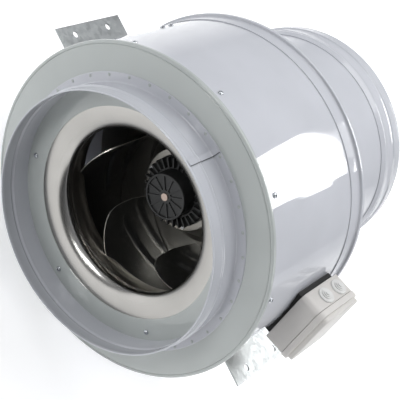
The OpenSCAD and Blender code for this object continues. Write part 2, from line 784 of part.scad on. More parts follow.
module terminal_box() {
    inner_l = box_len - 2 * box_wall;
    inner_w = box_w - 2 * box_wall;
    color("lightgray") on_box() difference() {
        linear_extrude(height = box_h) round_rect(box_len, box_w, box_corner);
        translate([0, 0, box_wall]) linear_extrude(height = box_h)
            round_rect(inner_l, inner_w, box_corner - box_wall);
        for (s = [-1, 1])
            translate([gland_shift + s * gland_pitch / 2, box_w / 2 - box_wall - cut, gland_up])
                rotate([-90, 0, 0]) cylinder(r = gland_hole_d / 2, h = box_wall + 2 * cut);
        translate([0, 0, -cut]) cylinder(r = bush_hole_r, h = box_wall + 2 * cut);
        for (s = [-1, 1]) translate([s * box_screw_x, 0, -cut])
            cylinder(r = screw_hole_d / 2, h = box_wall + 2 * cut);
    }
}

module box_gasket() {
    gasket_l = box_len - 2 * gasket_inset;
    gasket_w = box_w - 2 * gasket_inset;
    color("#1c1c1c") clock(box_angle) difference() {
        intersection() {
            translate([drum_r - gasket_depth, box_mid_y - gasket_l / 2, -gasket_w / 2])
                cube([gasket_depth + box_stand, gasket_l, gasket_w]);
            ring(drum_r + 0.02, drum_r + 30, box_mid_y - box_len, box_mid_y + box_len, $fn = 360);
        }
        translate([0, box_mid_y, 0])
            spoke(bush_hole_r, drum_r - gasket_depth, box_floor_r + cut);
        for (s = [-1, 1]) translate([0, box_mid_y + s * box_screw_x, 0])
            spoke(screw_hole_d / 2, drum_r - gasket_depth, box_floor_r + cut);
    }
}

module box_screws() {
    color("gainsboro") box_screw_places() radial_screw(box_floor_r + box_wall, box_stand + 10);
}

module box_lid() {
    top = lid_rim_h + lid_panel_h;
    color("lightgray") on_box() translate([0, 0, box_h]) difference() {
        union() {
            linear_extrude(height = lid_rim_h)
                round_rect(box_len + 2 * lid_lap, box_w + 2 * lid_lap, box_corner + lid_lap);
            translate([0, 0, lid_rim_h - eps]) linear_extrude(height = lid_panel_h + eps)
                round_rect(box_len - 2 * lid_inset, box_w - 2 * lid_inset, box_corner - lid_inset);
        }
        translate([0, 0, -cut]) linear_extrude(height = top - box_wall + cut)
            round_rect(box_len - 4 * box_wall, box_w - 4 * box_wall, box_corner - 2 * box_wall);
        translate([0, 0, -cut]) linear_extrude(height = 3 + cut)
            round_rect(box_len - 2 * box_wall - 0.4, box_w - 2 * box_wall - 0.4,
                box_corner - box_wall);
        on_lid_screws() translate([0, 0, top - 5]) cylinder(r = 3.6, h = 6);
        on_lid_screws() translate([0, 0, top - 8]) cylinder(r = 1.9, h = 8);
    }
}

module on_lid_screws() {
    for (sx = [-1, 1], sy = [-1, 1])
        translate([sx * (box_len / 2 - lid_screw_in), sy * (box_w / 2 - lid_screw_in), 0])
            children();
}

module lid_gasket() {
    color("#2a2a2a") on_box() translate([0, 0, box_h]) difference() {
        linear_extrude(height = 2.8)
            round_rect(box_len - 2 * box_wall - 0.8, box_w - 2 * box_wall - 0.8,
                box_corner - box_wall - 0.2);
        translate([0, 0, -cut]) linear_extrude(height = 2.8 + 2 * cut)
            round_rect(box_len - 4 * box_wall, box_w - 4 * box_wall, box_corner - 2 * box_wall);
    }
}

module lid_screws() {
    top = lid_rim_h + lid_panel_h;
    color("gainsboro") on_box() translate([0, 0, box_h]) on_lid_screws() difference() {
        union() {
            translate([0, 0, top - 4.9]) cylinder(r = 3.3, h = 3);
            translate([0, 0, top - 7.9]) cylinder(r = 1.6, h = 3.1);
        }
        translate([-2.2, -0.4, top - 2.9]) cube([4.4, 0.8, 2]);
        translate([-0.4, -2.2, top - 2.9]) cube([0.8, 4.4, 2]);
    }
}

// Stepped rubber grommets for two cables
module cable_grommets() {
    hole_r = gland_hole_d / 2;
    flange_r = hole_r + 3.5;
    color("#d4d3d1") on_box() for (s = [-1, 1])
        translate([gland_shift + s * gland_pitch / 2, box_w / 2, gland_up]) rotate([-90, 0, 0])
            rotate_extrude() polygon([[0, 5.2], [0, 6.6], [hole_r - 6.6, 6.6],
                [hole_r - 6.6, 5.2], [hole_r - 4.2, 5.2], [hole_r - 4.2, 3.8],
                [hole_r - 1.8, 3.8], [hole_r - 1.8, 2.4], [flange_r - 1, 2.4],
                [flange_r, 1.4], [flange_r, 0], [hole_r - 0.1, 0], [hole_r - 0.1, -box_wall],
                [hole_r + 1.6, -box_wall - 0.1], [hole_r, -box_wall - 2],
                [hole_r - 2.2, -box_wall - 2], [hole_r - 2.2, 0.6], [hole_r - 3.4, 1.4],
                [hole_r - 5.8, 2.6], [hole_r - 8, 4]]);
}

module terminal_block() {
    mid = box_w / 2 - box_wall - terminal_gap - terminal_w / 2;
    color("#e8e6df") on_box() translate([-4, mid, box_wall + 0.1]) difference() {
        translate([-terminal_len / 2, -terminal_w / 2, 0]) cube([terminal_len, terminal_w, 18]);
        for (i = [0:5]) translate([-26.5 + i * 10.6, 0, 8]) {
            cylinder(r = 2, h = 12);
            translate([0, 9, -3]) rotate([90, 0, 0]) cylinder(r = 1.7, h = 18);
        }
    }
}

module capacitor() {
    r = capacitor_r;
    mid = -(box_w / 2 - box_wall - capacitor_gap - r);
    color("whitesmoke") on_box() translate([-32, mid, box_wall + r + 0.2]) rotate([0, 90, 0])
        rotate_extrude() polygon([[0, 0], [r - 2, 0], [r, 2], [r, capacitor_len - 2],
            [r - 2, capacitor_len], [4, capacitor_len], [4, capacitor_len + 4],
            [0, capacitor_len + 4]]);
}

module cable_bush() {
    bore_r = cable_d / 2 + 0.1;
    top = box_floor_r + box_wall + 2;
    color("#1c1c1c") clock(box_angle) translate([0, box_mid_y, 0]) rotate([0, 90, 0])
        rotate_extrude() polygon([[bore_r, drum_in_r - 4], [bush_hole_r + 2, drum_in_r - 2],
            [bush_hole_r + 2, drum_in_r - 0.5], [bush_hole_r - 0.1, drum_in_r - 0.4],
            [bush_hole_r - 0.1, top], [bore_r, top]]);
}

// ---------- motor cable ----------

function unit(v) = v / norm(v);
function route_dir(p, i) = unit(p[min(i + 1, len(p) - 1)] - p[max(i - 1, 0)]);

// A tube swept along a list of points
module swept_tube(p, d, sides) {
    n = len(p);
    ring_pts = [for (i = [0:n - 1]) let (t = route_dir(p, i),
        ref = abs(t[2]) < 0.9 ? [0, 0, 1] : [1, 0, 0], u = unit(cross(t, ref)), v = cross(t, u))
        for (k = [0:sides - 1]) let (a = 360 * k / sides) p[i] + (u * cos(a) + v * sin(a)) * d / 2];
    side_faces = [for (i = [0:n - 2], k = [0:sides - 1]) let (k2 = (k + 1) % sides)
        [i * sides + k, i * sides + k2, (i + 1) * sides + k2, (i + 1) * sides + k]];
    polyhedron(ring_pts, concat(side_faces, [[for (k = [sides - 1:-1:0]) k]],
        [[for (k = [0:sides - 1]) (n - 1) * sides + k]]));
}

module motor_cable() { color("#202020") swept_tube(cable_route, cable_d, 10); }

// ---------- earth screws ----------

module earth_screw_places() {
    for (k = [0, 1]) clock(earth_screw_angle)
        translate([0, ear_mid_y + earth_screw_shift + k * earth_screw_pitch, 0])
        children();
}

module earth_screws() { color("gainsboro") earth_screw_places() radial_screw(drum_r, 7); }

inlet_spigot();
inlet_flange_rivets();
front_end_plate();
drum_casing();
drum_screws();
rear_end_plate();
outlet_duct();
outlet_duct_rivets();
outlet_spigot();
inlet_nozzle();
nozzle_screws();
impeller_shroud();
impeller_blade_1();
impeller_blade_2();
impeller_blade_3();
impeller_blade_4();
impeller_blade_5();
impeller_blade_6();
impeller_back_plate();
impeller_screws();
rotor_can();
rotor_cover();
rotor_cage();
motor_shaft();
shaft_clip();
front_bearing();
rear_bearing();
stator_core();
stator_windings();
stator_base();
motor_screws();
motor_support();
support_screws();
left_bracket();
right_bracket();
bracket_rivets();
terminal_box();
box_gasket();
box_screws();
box_lid();
lid_gasket();
lid_screws();
cable_grommets();
terminal_block();
capacitor();
motor_cable();
cable_bush();
earth_screws();
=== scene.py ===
"""An inline duct fan: finished shapes and materials on the engineering model, and the studio."""

import math

import bmesh
import bpy
from mathutils import Matrix, Vector


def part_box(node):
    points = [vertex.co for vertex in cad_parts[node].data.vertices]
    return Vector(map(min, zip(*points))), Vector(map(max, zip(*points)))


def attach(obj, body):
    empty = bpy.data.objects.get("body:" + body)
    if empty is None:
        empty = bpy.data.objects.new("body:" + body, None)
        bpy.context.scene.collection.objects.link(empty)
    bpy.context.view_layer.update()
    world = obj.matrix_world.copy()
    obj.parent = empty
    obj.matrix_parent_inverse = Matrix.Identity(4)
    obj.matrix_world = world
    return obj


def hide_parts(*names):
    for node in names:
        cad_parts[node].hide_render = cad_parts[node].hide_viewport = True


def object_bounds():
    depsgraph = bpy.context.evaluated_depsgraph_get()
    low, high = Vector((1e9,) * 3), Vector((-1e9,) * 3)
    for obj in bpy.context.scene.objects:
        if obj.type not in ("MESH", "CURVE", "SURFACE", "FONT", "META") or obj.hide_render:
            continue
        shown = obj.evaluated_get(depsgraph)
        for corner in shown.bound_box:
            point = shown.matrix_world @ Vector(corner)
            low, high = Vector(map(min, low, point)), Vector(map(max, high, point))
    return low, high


bl_info = {
    "name": "Inline Duct Fan",
    "version": (1, 0, 0),
    "blender": (4, 5, 0),
    "location": "View3D > Sidebar > Duct Fan",
    "description": "Finished shapes, materials and studio of an inline duct fan",
    "category": "Add Mesh",
}

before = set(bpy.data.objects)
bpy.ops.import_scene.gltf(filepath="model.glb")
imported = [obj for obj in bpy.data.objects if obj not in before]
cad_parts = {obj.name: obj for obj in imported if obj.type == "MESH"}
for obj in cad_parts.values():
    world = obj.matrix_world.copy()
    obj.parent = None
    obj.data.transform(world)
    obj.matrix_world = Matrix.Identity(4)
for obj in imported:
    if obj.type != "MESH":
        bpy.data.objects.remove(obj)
cad_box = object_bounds()

MM = 0.001
ROUND_STEPS = 240  # flats round each turned sheet
FILLET_R = 2.2  # where a flange turns into its tube


def span(node, axis):
    """Lowest and highest place of a part of the model along one axis, in millimetres."""
    low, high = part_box(node)
    return low[axis] / MM, high[axis] / MM


OUTLET_Y = span("outlet_spigot", 1)[1]
FRONT_Y = span("front_end_plate", 1)[0]
REAR_Y = span("rear_end_plate", 1)[1]
LIP_R = span("front_end_plate", 0)[1]


# ---------------------------------------------------------------- settings


class FanSizes(bpy.types.PropertyGroup):
    """Sizes of the casing and the impeller, in millimetres"""

    spigot_r: bpy.props.FloatProperty(
        name="Spigot radius", description="Outside radius of both spigots", default=199.0
    )
    sheet: bpy.props.FloatProperty(
        name="Sheet", description="Thickness of the casing's sheet", default=1.5
    )
    bead_at: bpy.props.FloatProperty(
        name="Bead place", description="From a spigot's mouth to its bead", default=23.0
    )
    bead_w: bpy.props.FloatProperty(
        name="Bead width", description="Width of the raised bead", default=8.0
    )
    bead_h: bpy.props.FloatProperty(
        name="Bead height", description="Height of the raised bead", default=2.2
    )
    flange_w: bpy.props.FloatProperty(
        name="Flange width", description="Width of a spigot's flange", default=15.0
    )
    drum_r: bpy.props.FloatProperty(
        name="Drum radius", description="Outside radius of the drum", default=252.0
    )
    duct_r: bpy.props.FloatProperty(
        name="Duct radius", description="Outside radius of the outlet duct", default=195.5
    )
    skirt: bpy.props.FloatProperty(
        name="Skirt", description="Length of the rear plate's skirt", default=32.0
    )
    bell_r: bpy.props.FloatProperty(
        name="Bell radius", description="Outer radius of the nozzle's bell", default=163.7
    )
    throat_r: bpy.props.FloatProperty(
        name="Throat radius", description="Radius of the nozzle's throat", default=128.5
    )
    bell_depth: bpy.props.FloatProperty(
        name="Bell depth", description="From the end plate to the throat", default=17.0
    )
    flare: bpy.props.FloatProperty(
        name="Flare", description="Length of the flare behind the throat", default=17.0
    )
    impeller_r: bpy.props.FloatProperty(
        name="Impeller radius", description="Outer radius of the impeller", default=212.0
    )
    eye_r: bpy.props.FloatProperty(
        name="Eye radius", description="Radius of the shroud's eye", default=138.2
    )
    blade_angle: bpy.props.FloatProperty(
        name="Blade angle",
        description="Angle between a blade and the circle",
        default=math.radians(26.6),
        subtype="ANGLE",
    )
    blade_shift: bpy.props.FloatProperty(
        name="Blade shift", description="Clock angle of the first blade, degrees", default=44.3
    )
    seam_angle: bpy.props.FloatProperty(
        name="Seam angle",
        description="Clock angle of the lap seam in the inlet spigot",
        default=math.radians(93.0),
        subtype="ANGLE",
    )
    screw_r: bpy.props.FloatProperty(
        name="Screw head", description="Radius of a pan head", default=4.2
    )
    drum_screws: bpy.props.IntProperty(
        name="Drum screws", description="Screws round the front of the drum", default=10
    )
    drum_screw_at: bpy.props.FloatProperty(
        name="Drum screw place", description="From the front plate to the screws", default=26.0
    )
    nozzle_screws: bpy.props.IntProperty(
        name="Nozzle screws", description="Screws that hold the nozzle", default=6
    )
    nozzle_screw_r: bpy.props.FloatProperty(
        name="Nozzle screw circle", description="Radius of the nozzle's screws", default=184.5
    )
    box_angle: bpy.props.FloatProperty(
        name="Box angle",
        description="Clock angle of the terminal box",
        default=math.radians(19.3),
        subtype="ANGLE",
    )
    box_len: bpy.props.FloatProperty(
        name="Box length", description="Terminal box along the drum", default=108.0
    )
    box_w: bpy.props.FloatProperty(
        name="Box width", description="Terminal box round the drum", default=110.0
    )
    box_h: bpy.props.FloatProperty(
        name="Box height", description="Terminal box under its lid", default=35.0
    )
    box_stand: bpy.props.FloatProperty(
        name="Box stand", description="From the drum to the box's floor", default=5.0
    )
    box_corner: bpy.props.FloatProperty(
        name="Box corner", description="Radius of the box's upright corners", default=13.0
    )
    rim_h: bpy.props.FloatProperty(
        name="Lid rim", description="Height of the lid's rim", default=10.0
    )
    panel_h: bpy.props.FloatProperty(
        name="Lid panel", description="Height of the lid's raised panel", default=8.0
    )


class FanColours(bpy.types.PropertyGroup):
    """Colours of the finishes, as sRGB hex values"""

    casing: bpy.props.StringProperty(
        name="Casing", description="Paint of the drum, duct and spigots", default="c0c2c8"
    )
    # The front plate's colour is the casing paint made a little darker and greener: painted shade.
    plate: bpy.props.StringProperty(
        name="End plate", description="Paint of the front end plate", default="b1b6b4"
    )
    zinc: bpy.props.StringProperty(
        name="Zinc", description="Galvanised brackets and screws", default="a3a6a6"
    )
    bell: bpy.props.StringProperty(
        name="Bell", description="Bare metal of the nozzle", default="b6b4b0"
    )
    blade: bpy.props.StringProperty(
        name="Blades", description="Bare metal of the blades", default="7c7d7c"
    )
    motor: bpy.props.StringProperty(
        name="Motor", description="Coating of the rotor", default="0a0b0b"
    )
    box: bpy.props.StringProperty(
        name="Box", description="Plastic of the terminal box", default="c8c5c1"
    )


# ---------------------------------------------------------------- helpers


def colour(code):
    """A linear colour from an sRGB hex code."""
    parts = [int(code[i : i + 2], 16) / 255 for i in (0, 2, 4)]
    return [c / 12.92 if c <= 0.04045 else ((c + 0.055) / 1.055) ** 2.4 for c in parts] + [1.0]


def add(tree, kind, inputs=None, **settings):
    """Adds a node, with its settings, and its inputs as values or links."""
    made = tree.nodes.new(kind)
    for key, value in settings.items():
        setattr(made, key, value)
    for key, value in (inputs or {}).items():
        if isinstance(value, bpy.types.NodeSocket):
            tree.links.new(value, made.inputs[key])
        else:
            made.inputs[key].default_value = value
    return made


def blank(name):
    """A material with its shader's node, and the Object coordinates in millimetres."""
    made = bpy.data.materials.new(name)
    made.use_nodes = True
    tree = made.node_tree
    shader = tree.nodes["Principled BSDF"]
    place = add(tree, "ShaderNodeTexCoord").outputs["Object"]
    scaled = add(
        tree, "ShaderNodeVectorMath", {0: place, 1: (1000.0, 1000.0, 1000.0)}, operation="MULTIPLY"
    )
    return made, tree, shader, scaled.outputs["Vector"]


def noise(tree, place, size, detail=3.0, rough=0.5):
    """Noise whose features are about size millimetres across."""
    return add(
        tree,
        "ShaderNodeTexNoise",
        {"Vector": place, "Scale": 1.0 / size, "Detail": detail, "Roughness": rough},
    ).outputs["Fac"]


def blended(tree, factor, low, high):
    """A colour between two, by a factor."""
    made = add(tree, "ShaderNodeMix", data_type="RGBA")
    tree.links.new(factor, made.inputs["Factor"])
    made.inputs["A"].default_value = low
    made.inputs["B"].default_value = high
    return made.outputs["Result"]


def ranged(tree, value, from_low, from_high, to_low, to_high):
    """Maps a value from one range to another, held at the ends."""
    return add(
        tree,
        "ShaderNodeMapRange",
        {0: value, 1: from_low, 2: from_high, 3: to_low, 4: to_high},
    ).outputs[0]


def from_axis(tree, parts):
    """Distance from the fan's axis, out of a separated place."""
    flat = add(
        tree, "ShaderNodeCombineXYZ", {"X": parts.outputs["X"], "Y": parts.outputs["Z"]}
    ).outputs["Vector"]
    return add(tree, "ShaderNodeVectorMath", {0: flat}, operation="LENGTH").outputs["Value"]


def bumped(tree, shader, height, depth, strength=1.0):
    """Gives the shader a bump of depth millimetres."""
    made = add(
        tree, "ShaderNodeBump", {"Height": height, "Distance": depth * MM, "Strength": strength}
    )
    tree.links.new(made.outputs["Normal"], shader.inputs["Normal"])


def clock(angle):
    """A turn about the fan's axis, from +X towards +Z, in degrees."""
    return Matrix.Rotation(-math.radians(angle), 4, "Y")


def arc(r, y, radius, start, end, steps=6):
    """Points [r, y] round a corner, from a start angle to an end angle in degrees."""
    turns = [math.radians(start + (end - start) * i / steps) for i in range(steps + 1)]
    return [(r + radius * math.cos(a), y + radius * math.sin(a)) for a in turns]


def bead(r, y, width, height, steps=14):
    """Points of a raised bead on a tube's wall."""
    return [
        (
            r + height * (1 - math.cos(2 * math.pi * i / steps)) / 2,
            y - width / 2 + width * i / steps,
        )
        for i in range(steps + 1)
    ]


def spun(bm, profile, steps=192):
    """Turns a closed profile of [r, y] points in millimetres round the fan's axis."""
    verts = [bm.verts.new((r * MM, y * MM, 0)) for r, y in profile]
    edges = [bm.edges.new(pair) for pair in zip(verts, verts[1:] + verts[:1])]
    bmesh.ops.spin(
        bm,
        geom=verts + edges,
        axis=(0, 1, 0),
        cent=(0, 0, 0),
        angle=2 * math.pi,
        steps=steps,
        use_merge=True,
    )


def ribbon(bm, profile, start, sweep, thick):
    """A strip of sheet that lies on a turned wall, from one clock angle over a short sweep."""
    turn = clock(start)
    verts = [bm.verts.new(turn @ Vector((r * MM, y * MM, 0))) for r, y in profile]
    edges = [bm.edges.new(pair) for pair in zip(verts, verts[1:])]
    bmesh.ops.spin(
        bm,
        geom=verts + edges,
        axis=(0, 1, 0),
        cent=(0, 0, 0),
        angle=-math.radians(sweep),
        steps=4,
        use_merge=False,
    )
    bmesh.ops.recalc_face_normals(bm, faces=bm.faces)
    bmesh.ops.solidify(bm, geom=bm.faces[:], thickness=thick * MM)


def pan_head(bm, place, head_r, head_h, shank_r, shank_l):
    """A pan-head screw with a round socket, its axis along the place's Z."""
    shape = [(0, head_h * 0.45), (head_r * 0.3, head_h * 0.5), (head_r * 0.36, head_h * 0.98)]
    shape += [(head_r * 0.62, head_h * 0.92), (head_r * 0.86, head_h * 0.66)]
    shape += [(head_r, head_h * 0.3), (head_r, 0), (shank_r, 0), (shank_r, -shank_l)]
    shape += [(0, -shank_l)]
    before = set(bm.verts)
    verts = [bm.verts.new((r * MM, 0, z * MM)) for r, z in shape]
    edges = [bm.edges.new(pair) for pair in zip(verts, verts[1:])]
    bmesh.ops.spin(
        bm,
        geom=verts + edges,
        axis=(0, 0, 1),
        cent=(0, 0, 0),
        angle=2 * math.pi,
        steps=24,
        use_merge=True,
    )
    fresh = [v for v in bm.verts if v not in before]
    bmesh.ops.transform(bm, matrix=place, verts=fresh)


def round_block(bm, length, width, low, high, corner, soft, wall=0.0, open_top=False):
    """A moulded block with round upright corners; with a wall it is hollow from one end."""
    made = bmesh.ops.create_cube(bm, size=1.0)["verts"]
    middle = Vector((0, 0, (low + high) / 2 * MM))
    grow = Matrix.Diagonal((length * MM, width * MM, (high - low) * MM, 1.0))
    bmesh.ops.transform(bm, matrix=Matrix.Translation(middle) @ grow, verts=made)
    edges = {e for v in made for e in v.link_edges}
    upright = [e for e in edges if abs(e.verts[0].co.z - e.verts[1].co.z) > 1e-6]
    bmesh.ops.bevel(
        bm, geom=upright, offset=corner * MM, segments=8, profile=0.5, affect="EDGES", material=-1
    )
    end = high if open_top else low
    bm.normal_update()
    flat = [f for f in bm.faces if abs(f.normal.z) > 0.99]
    ends = [f for f in flat if abs(f.calc_center_median().z - end * MM) < 1e-6]
    other = low + high - end
    others = [f for f in flat if abs(f.calc_center_median().z - other * MM) < 1e-6]
    rims = {e for f in others for e in f.edges}
    if wall:
        bmesh.ops.inset_region(bm, faces=ends, thickness=wall * MM, depth=0.0)
        deep = (high - low - wall) * MM * (-1 if open_top else 1)
        pushed = bmesh.ops.extrude_face_region(bm, geom=ends)["geom"]
        bmesh.ops.delete(bm, geom=ends, context="FACES_ONLY")
        moved = [g for g in pushed if isinstance(g, bmesh.types.BMVert)]
        bmesh.ops.translate(bm, verts=moved, vec=(0, 0, deep))
    if soft:
        bmesh.ops.bevel(
            bm,
            geom=list(rims),
            offset=soft * MM,
            segments=4,
            profile=0.5,
            affect="EDGES",
            material=-1,
        )


def piece(name, bm, body, slot, material, *nodes, sharp=30.0):
    """Makes an object of a bmesh, smooth but for its sharp edges, in place of some parts."""
    bmesh.ops.remove_doubles(bm, verts=bm.verts, dist=1e-7)
    bmesh.ops.recalc_face_normals(bm, faces=bm.faces)
    for face in bm.faces:
        face.smooth = True
    limit = math.radians(sharp)
    for edge in bm.edges:
        edge.smooth = len(edge.link_faces) == 2 and edge.calc_face_angle(0) < limit
    mesh = bpy.data.meshes.new(name)
    bm.to_mesh(mesh)
    bm.free()
    made = bpy.data.objects.new(name, mesh)
    bpy.context.scene.collection.objects.link(made)
    mesh.materials.append(material)
    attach(made, body)
    if nodes:
        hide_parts(*nodes)
    return made


def dress(material, *nodes):
    """Gives parts of the model a material."""
    for name in nodes:
        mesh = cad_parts[name].data
        mesh.materials.clear()
        mesh.materials.append(material)


finished = {}


def material_once(maker):
    """The material that a function makes, made the first time only."""
    if maker not in finished:
        finished[maker] = maker()
    return finished[maker]


# ---------------------------------------------------------------- materials


def gloss_paint(name, code):
    """Sprayed gloss paint on sheet steel: a clear reflection over a very slight orange peel."""
    made, tree, shader, place = blank(name)
    drift = noise(tree, place, 90.0, 2.0)
    base = colour(code)
    dark = [c * 0.95 for c in base[:3]] + [1.0]
    tone = blended(tree, ranged(tree, drift, 0.35, 0.65, 0.0, 1.0), dark, base)
    tree.links.new(tone, shader.inputs["Base Color"])
    rough = ranged(tree, noise(tree, place, 35.0, 4.0), 0.3, 0.7, 0.03, 0.06)
    tree.links.new(rough, shader.inputs["Roughness"])
    shader.inputs["Specular IOR Level"].default_value = 0.6
    bumped(tree, shader, noise(tree, place, 2.6, 1.0), 0.004)
    return made


def casing_paint():
    # Gloss light grey paint on sheet steel: crisp reflections, faint orange peel.
    return gloss_paint("casing_paint", bpy.context.scene.fan_colours.casing)


def plate_paint():
    # The same gloss paint on the front plate, a little darker and greener: painted shade for the
    # plate's less lit face.
    return gloss_paint("plate_paint", bpy.context.scene.fan_colours.plate)


def galvanised_steel():
    # Hot-dip galvanised sheet: bright zinc with pale and dark crystals some millimetres wide.
    made, tree, shader, place = blank("galvanised_steel")
    cells = add(
        tree, "ShaderNodeTexVoronoi", {"Vector": place, "Scale": 1 / 6.0}, feature="F1"
    ).outputs["Color"]
    grey = add(tree, "ShaderNodeSeparateColor", {"Color": cells}).outputs["Red"]
    base = colour(bpy.context.scene.fan_colours.zinc)
    low = [c * 0.82 for c in base[:3]] + [1.0]
    tree.links.new(blended(tree, grey, low, base), shader.inputs["Base Color"])
    shader.inputs["Metallic"].default_value = 1.0
    tree.links.new(ranged(tree, grey, 0.0, 1.0, 0.30, 0.44), shader.inputs["Roughness"])
    bumped(tree, shader, noise(tree, place, 1.5), 0.02)
    return made


def zinc_plate():
    # Bright zinc-plated screws and rivets: a clear, slightly blue shine with fine marks.
    made, tree, shader, place = blank("zinc_plate")
    fine = noise(tree, place, 0.8)
    tree.links.new(
        blended(tree, fine, colour("a9adb1"), colour("d4d7da")), shader.inputs["Base Color"]
    )
    shader.inputs["Metallic"].default_value = 1.0
    tree.links.new(ranged(tree, fine, 0.3, 0.7, 0.16, 0.30), shader.inputs["Roughness"])
    bumped(tree, shader, fine, 0.01)
    return made


def turned_metal(name, code, low_rough, high_rough, pitch=1.2):
    """Bare metal spun on a lathe: fine rings round the fan's axis."""
    made, tree, shader, place = blank(name)
    parts = add(tree, "ShaderNodeSeparateXYZ", {"Vector": place})
    radius = from_axis(tree, parts)
    along = add(
        tree, "ShaderNodeCombineXYZ", {"X": radius, "Y": parts.outputs["Y"]}
    ).outputs["Vector"]
    rings = noise(tree, along, pitch, 2.0)
    cloud = noise(tree, place, 60.0, 3.0)
    base = colour(code)
    dark = [c * 0.9 for c in base[:3]] + [1.0]
    tree.links.new(
        blended(tree, ranged(tree, cloud, 0.3, 0.7, 0.0, 1.0), dark, base),
        shader.inputs["Base Color"],
    )
    shader.inputs["Metallic"].default_value = 1.0
    tree.links.new(
        ranged(tree, rings, 0.3, 0.7, low_rough, high_rough), shader.inputs["Roughness"]
    )
    bumped(tree, shader, rings, 0.01, 0.4)
    return made


def spun_steel():
    # Bare spun sheet, satin and slightly warm, with fine lathe rings.
    return turned_metal("spun_steel", bpy.context.scene.fan_colours.bell, 0.18, 0.28)


def impeller_steel():
    # The impeller's bare sheet, duller than the nozzle.
    return turned_metal("impeller_steel", "9b9892", 0.26, 0.40)


def blade_steel():
    # Pressed blade sheet: dark, half shiny, with rolling marks and small scuffs.
    made, tree, shader, place = blank("blade_steel")
    scuffs = noise(tree, place, 9.0, 6.0, 0.7)
    base = colour(bpy.context.scene.fan_colours.blade)
    pale = [min(1.0, c * 1.5) for c in base[:3]] + [1.0]
    tree.links.new(
        blended(tree, ranged(tree, scuffs, 0.55, 0.75, 0.0, 1.0), base, pale),
        shader.inputs["Base Color"],
    )
    shader.inputs["Metallic"].default_value = 1.0
    tree.links.new(ranged(tree, scuffs, 0.3, 0.7, 0.28, 0.38), shader.inputs["Roughness"])
    bumped(tree, shader, scuffs, 0.02)
    return made


def cut_edge_and_highlight():
    # The sheared edge of the sheet: bare metal, lightened to near white as a painted highlight
    # along the blades' edges.
    return turned_metal("cut_edge_and_highlight", "e8e4de", 0.35, 0.5)


def rotor_black():
    # Black stoved coating on a casting: dull, with a fine grain.
    made, tree, shader, place = blank("rotor_black")
    grain = noise(tree, place, 1.2)
    base = colour(bpy.context.scene.fan_colours.motor)
    pale = [c * 2.2 + 0.004 for c in base[:3]] + [1.0]
    tree.links.new(
        blended(tree, ranged(tree, grain, 0.4, 0.7, 0.0, 1.0), base, pale),
        shader.inputs["Base Color"],
    )
    tree.links.new(ranged(tree, grain, 0.3, 0.7, 0.34, 0.5), shader.inputs["Roughness"])
    bumped(tree, shader, grain, 0.05)
    return made


def shaft_steel():
    # The shaft's turned end, tinted by a film of oil.
    return turned_metal("shaft_steel", "b9a79c", 0.25, 0.4, 0.4)


def motor_alloy():
    # Die-cast aluminium: matt, slightly mottled.
    made, tree, shader, place = blank("motor_alloy")
    mottle = noise(tree, place, 4.0)
    tree.links.new(
        blended(tree, mottle, colour("8f9294"), colour("b4b6b7")), shader.inputs["Base Color"]
    )
    shader.inputs["Metallic"].default_value = 1.0
    tree.links.new(ranged(tree, mottle, 0.3, 0.7, 0.42, 0.58), shader.inputs["Roughness"])
    bumped(tree, shader, mottle, 0.05)
    return made


def laminations():
    # Stacked electrical steel: thin layers across the fan's axis.
    made, tree, shader, place = blank("laminations")
    parts = add(tree, "ShaderNodeSeparateXYZ", {"Vector": place})
    layer = add(
        tree, "ShaderNodeMath", {0: parts.outputs["Y"], 1: 1.0}, operation="PINGPONG"
    ).outputs["Value"]
    tree.links.new(
        blended(tree, layer, colour("4c4e52"), colour("85888c")), shader.inputs["Base Color"]
    )
    shader.inputs["Metallic"].default_value = 0.8
    shader.inputs["Roughness"].default_value = 0.5
    bumped(tree, shader, layer, 0.05)
    return made


def copper_wire():
    # Enamelled copper wire wound round the axis, 1 mm across.
    made, tree, shader, place = blank("copper_wire")
    parts = add(tree, "ShaderNodeSeparateXYZ", {"Vector": place})
    radius = from_axis(tree, parts)
    turn = add(tree, "ShaderNodeMath", {0: radius, 1: 0.5}, operation="PINGPONG").outputs["Value"]
    tree.links.new(
        blended(tree, ranged(tree, turn, 0.0, 0.5, 0.0, 1.0), colour("6e2f14"), colour("c06a35")),
        shader.inputs["Base Color"],
    )
    shader.inputs["Metallic"].default_value = 0.7
    shader.inputs["Roughness"].default_value = 0.35
    bumped(tree, shader, turn, 0.2)
    return made


def plastic(name, code, rough, grain_depth):
    """Moulded plastic with a fine spark-eroded grain."""
    made, tree, shader, place = blank(name)
    grain = noise(tree, place, 0.7, 2.0)
    cloud = noise(tree, place, 40.0, 2.0)
    base = colour(code)
    dark = [c * 0.95 for c in base[:3]] + [1.0]
    tree.links.new(
        blended(tree, ranged(tree, cloud, 0.3, 0.7, 0.0, 1.0), dark, base),
        shader.inputs["Base Color"],
    )
    tree.links.new(ranged(tree, grain, 0.3, 0.7, rough, rough + 0.1), shader.inputs["Roughness"])
    bumped(tree, shader, grain, grain_depth)
    return made


def box_plastic():
    # Light grey moulded polycarbonate, satin.
    return plastic("box_plastic", bpy.context.scene.fan_colours.box, 0.34, 0.03)


def white_plastic():
    # Off-white moulded nylon, smooth.
    return plastic("white_plastic", "e6e3da", 0.3, 0.01)


def grommet_rubber():
    # Light grey soft rubber, a little cooler than the box.
    return plastic("grommet_rubber", "cfcfcd", 0.42, 0.03)


def black_rubber():
    # Black rubber and foam: matt, faintly mottled.
    return plastic("black_rubber", "0e0e0e", 0.6, 0.06)


def seam_shadow_paint():
    # Dark grey strip along the lap's edge, half matt: painted shadow of the overlapping sheet's
    # step.
    return plastic("seam_shadow_paint", "55585a", 0.5, 0.02)


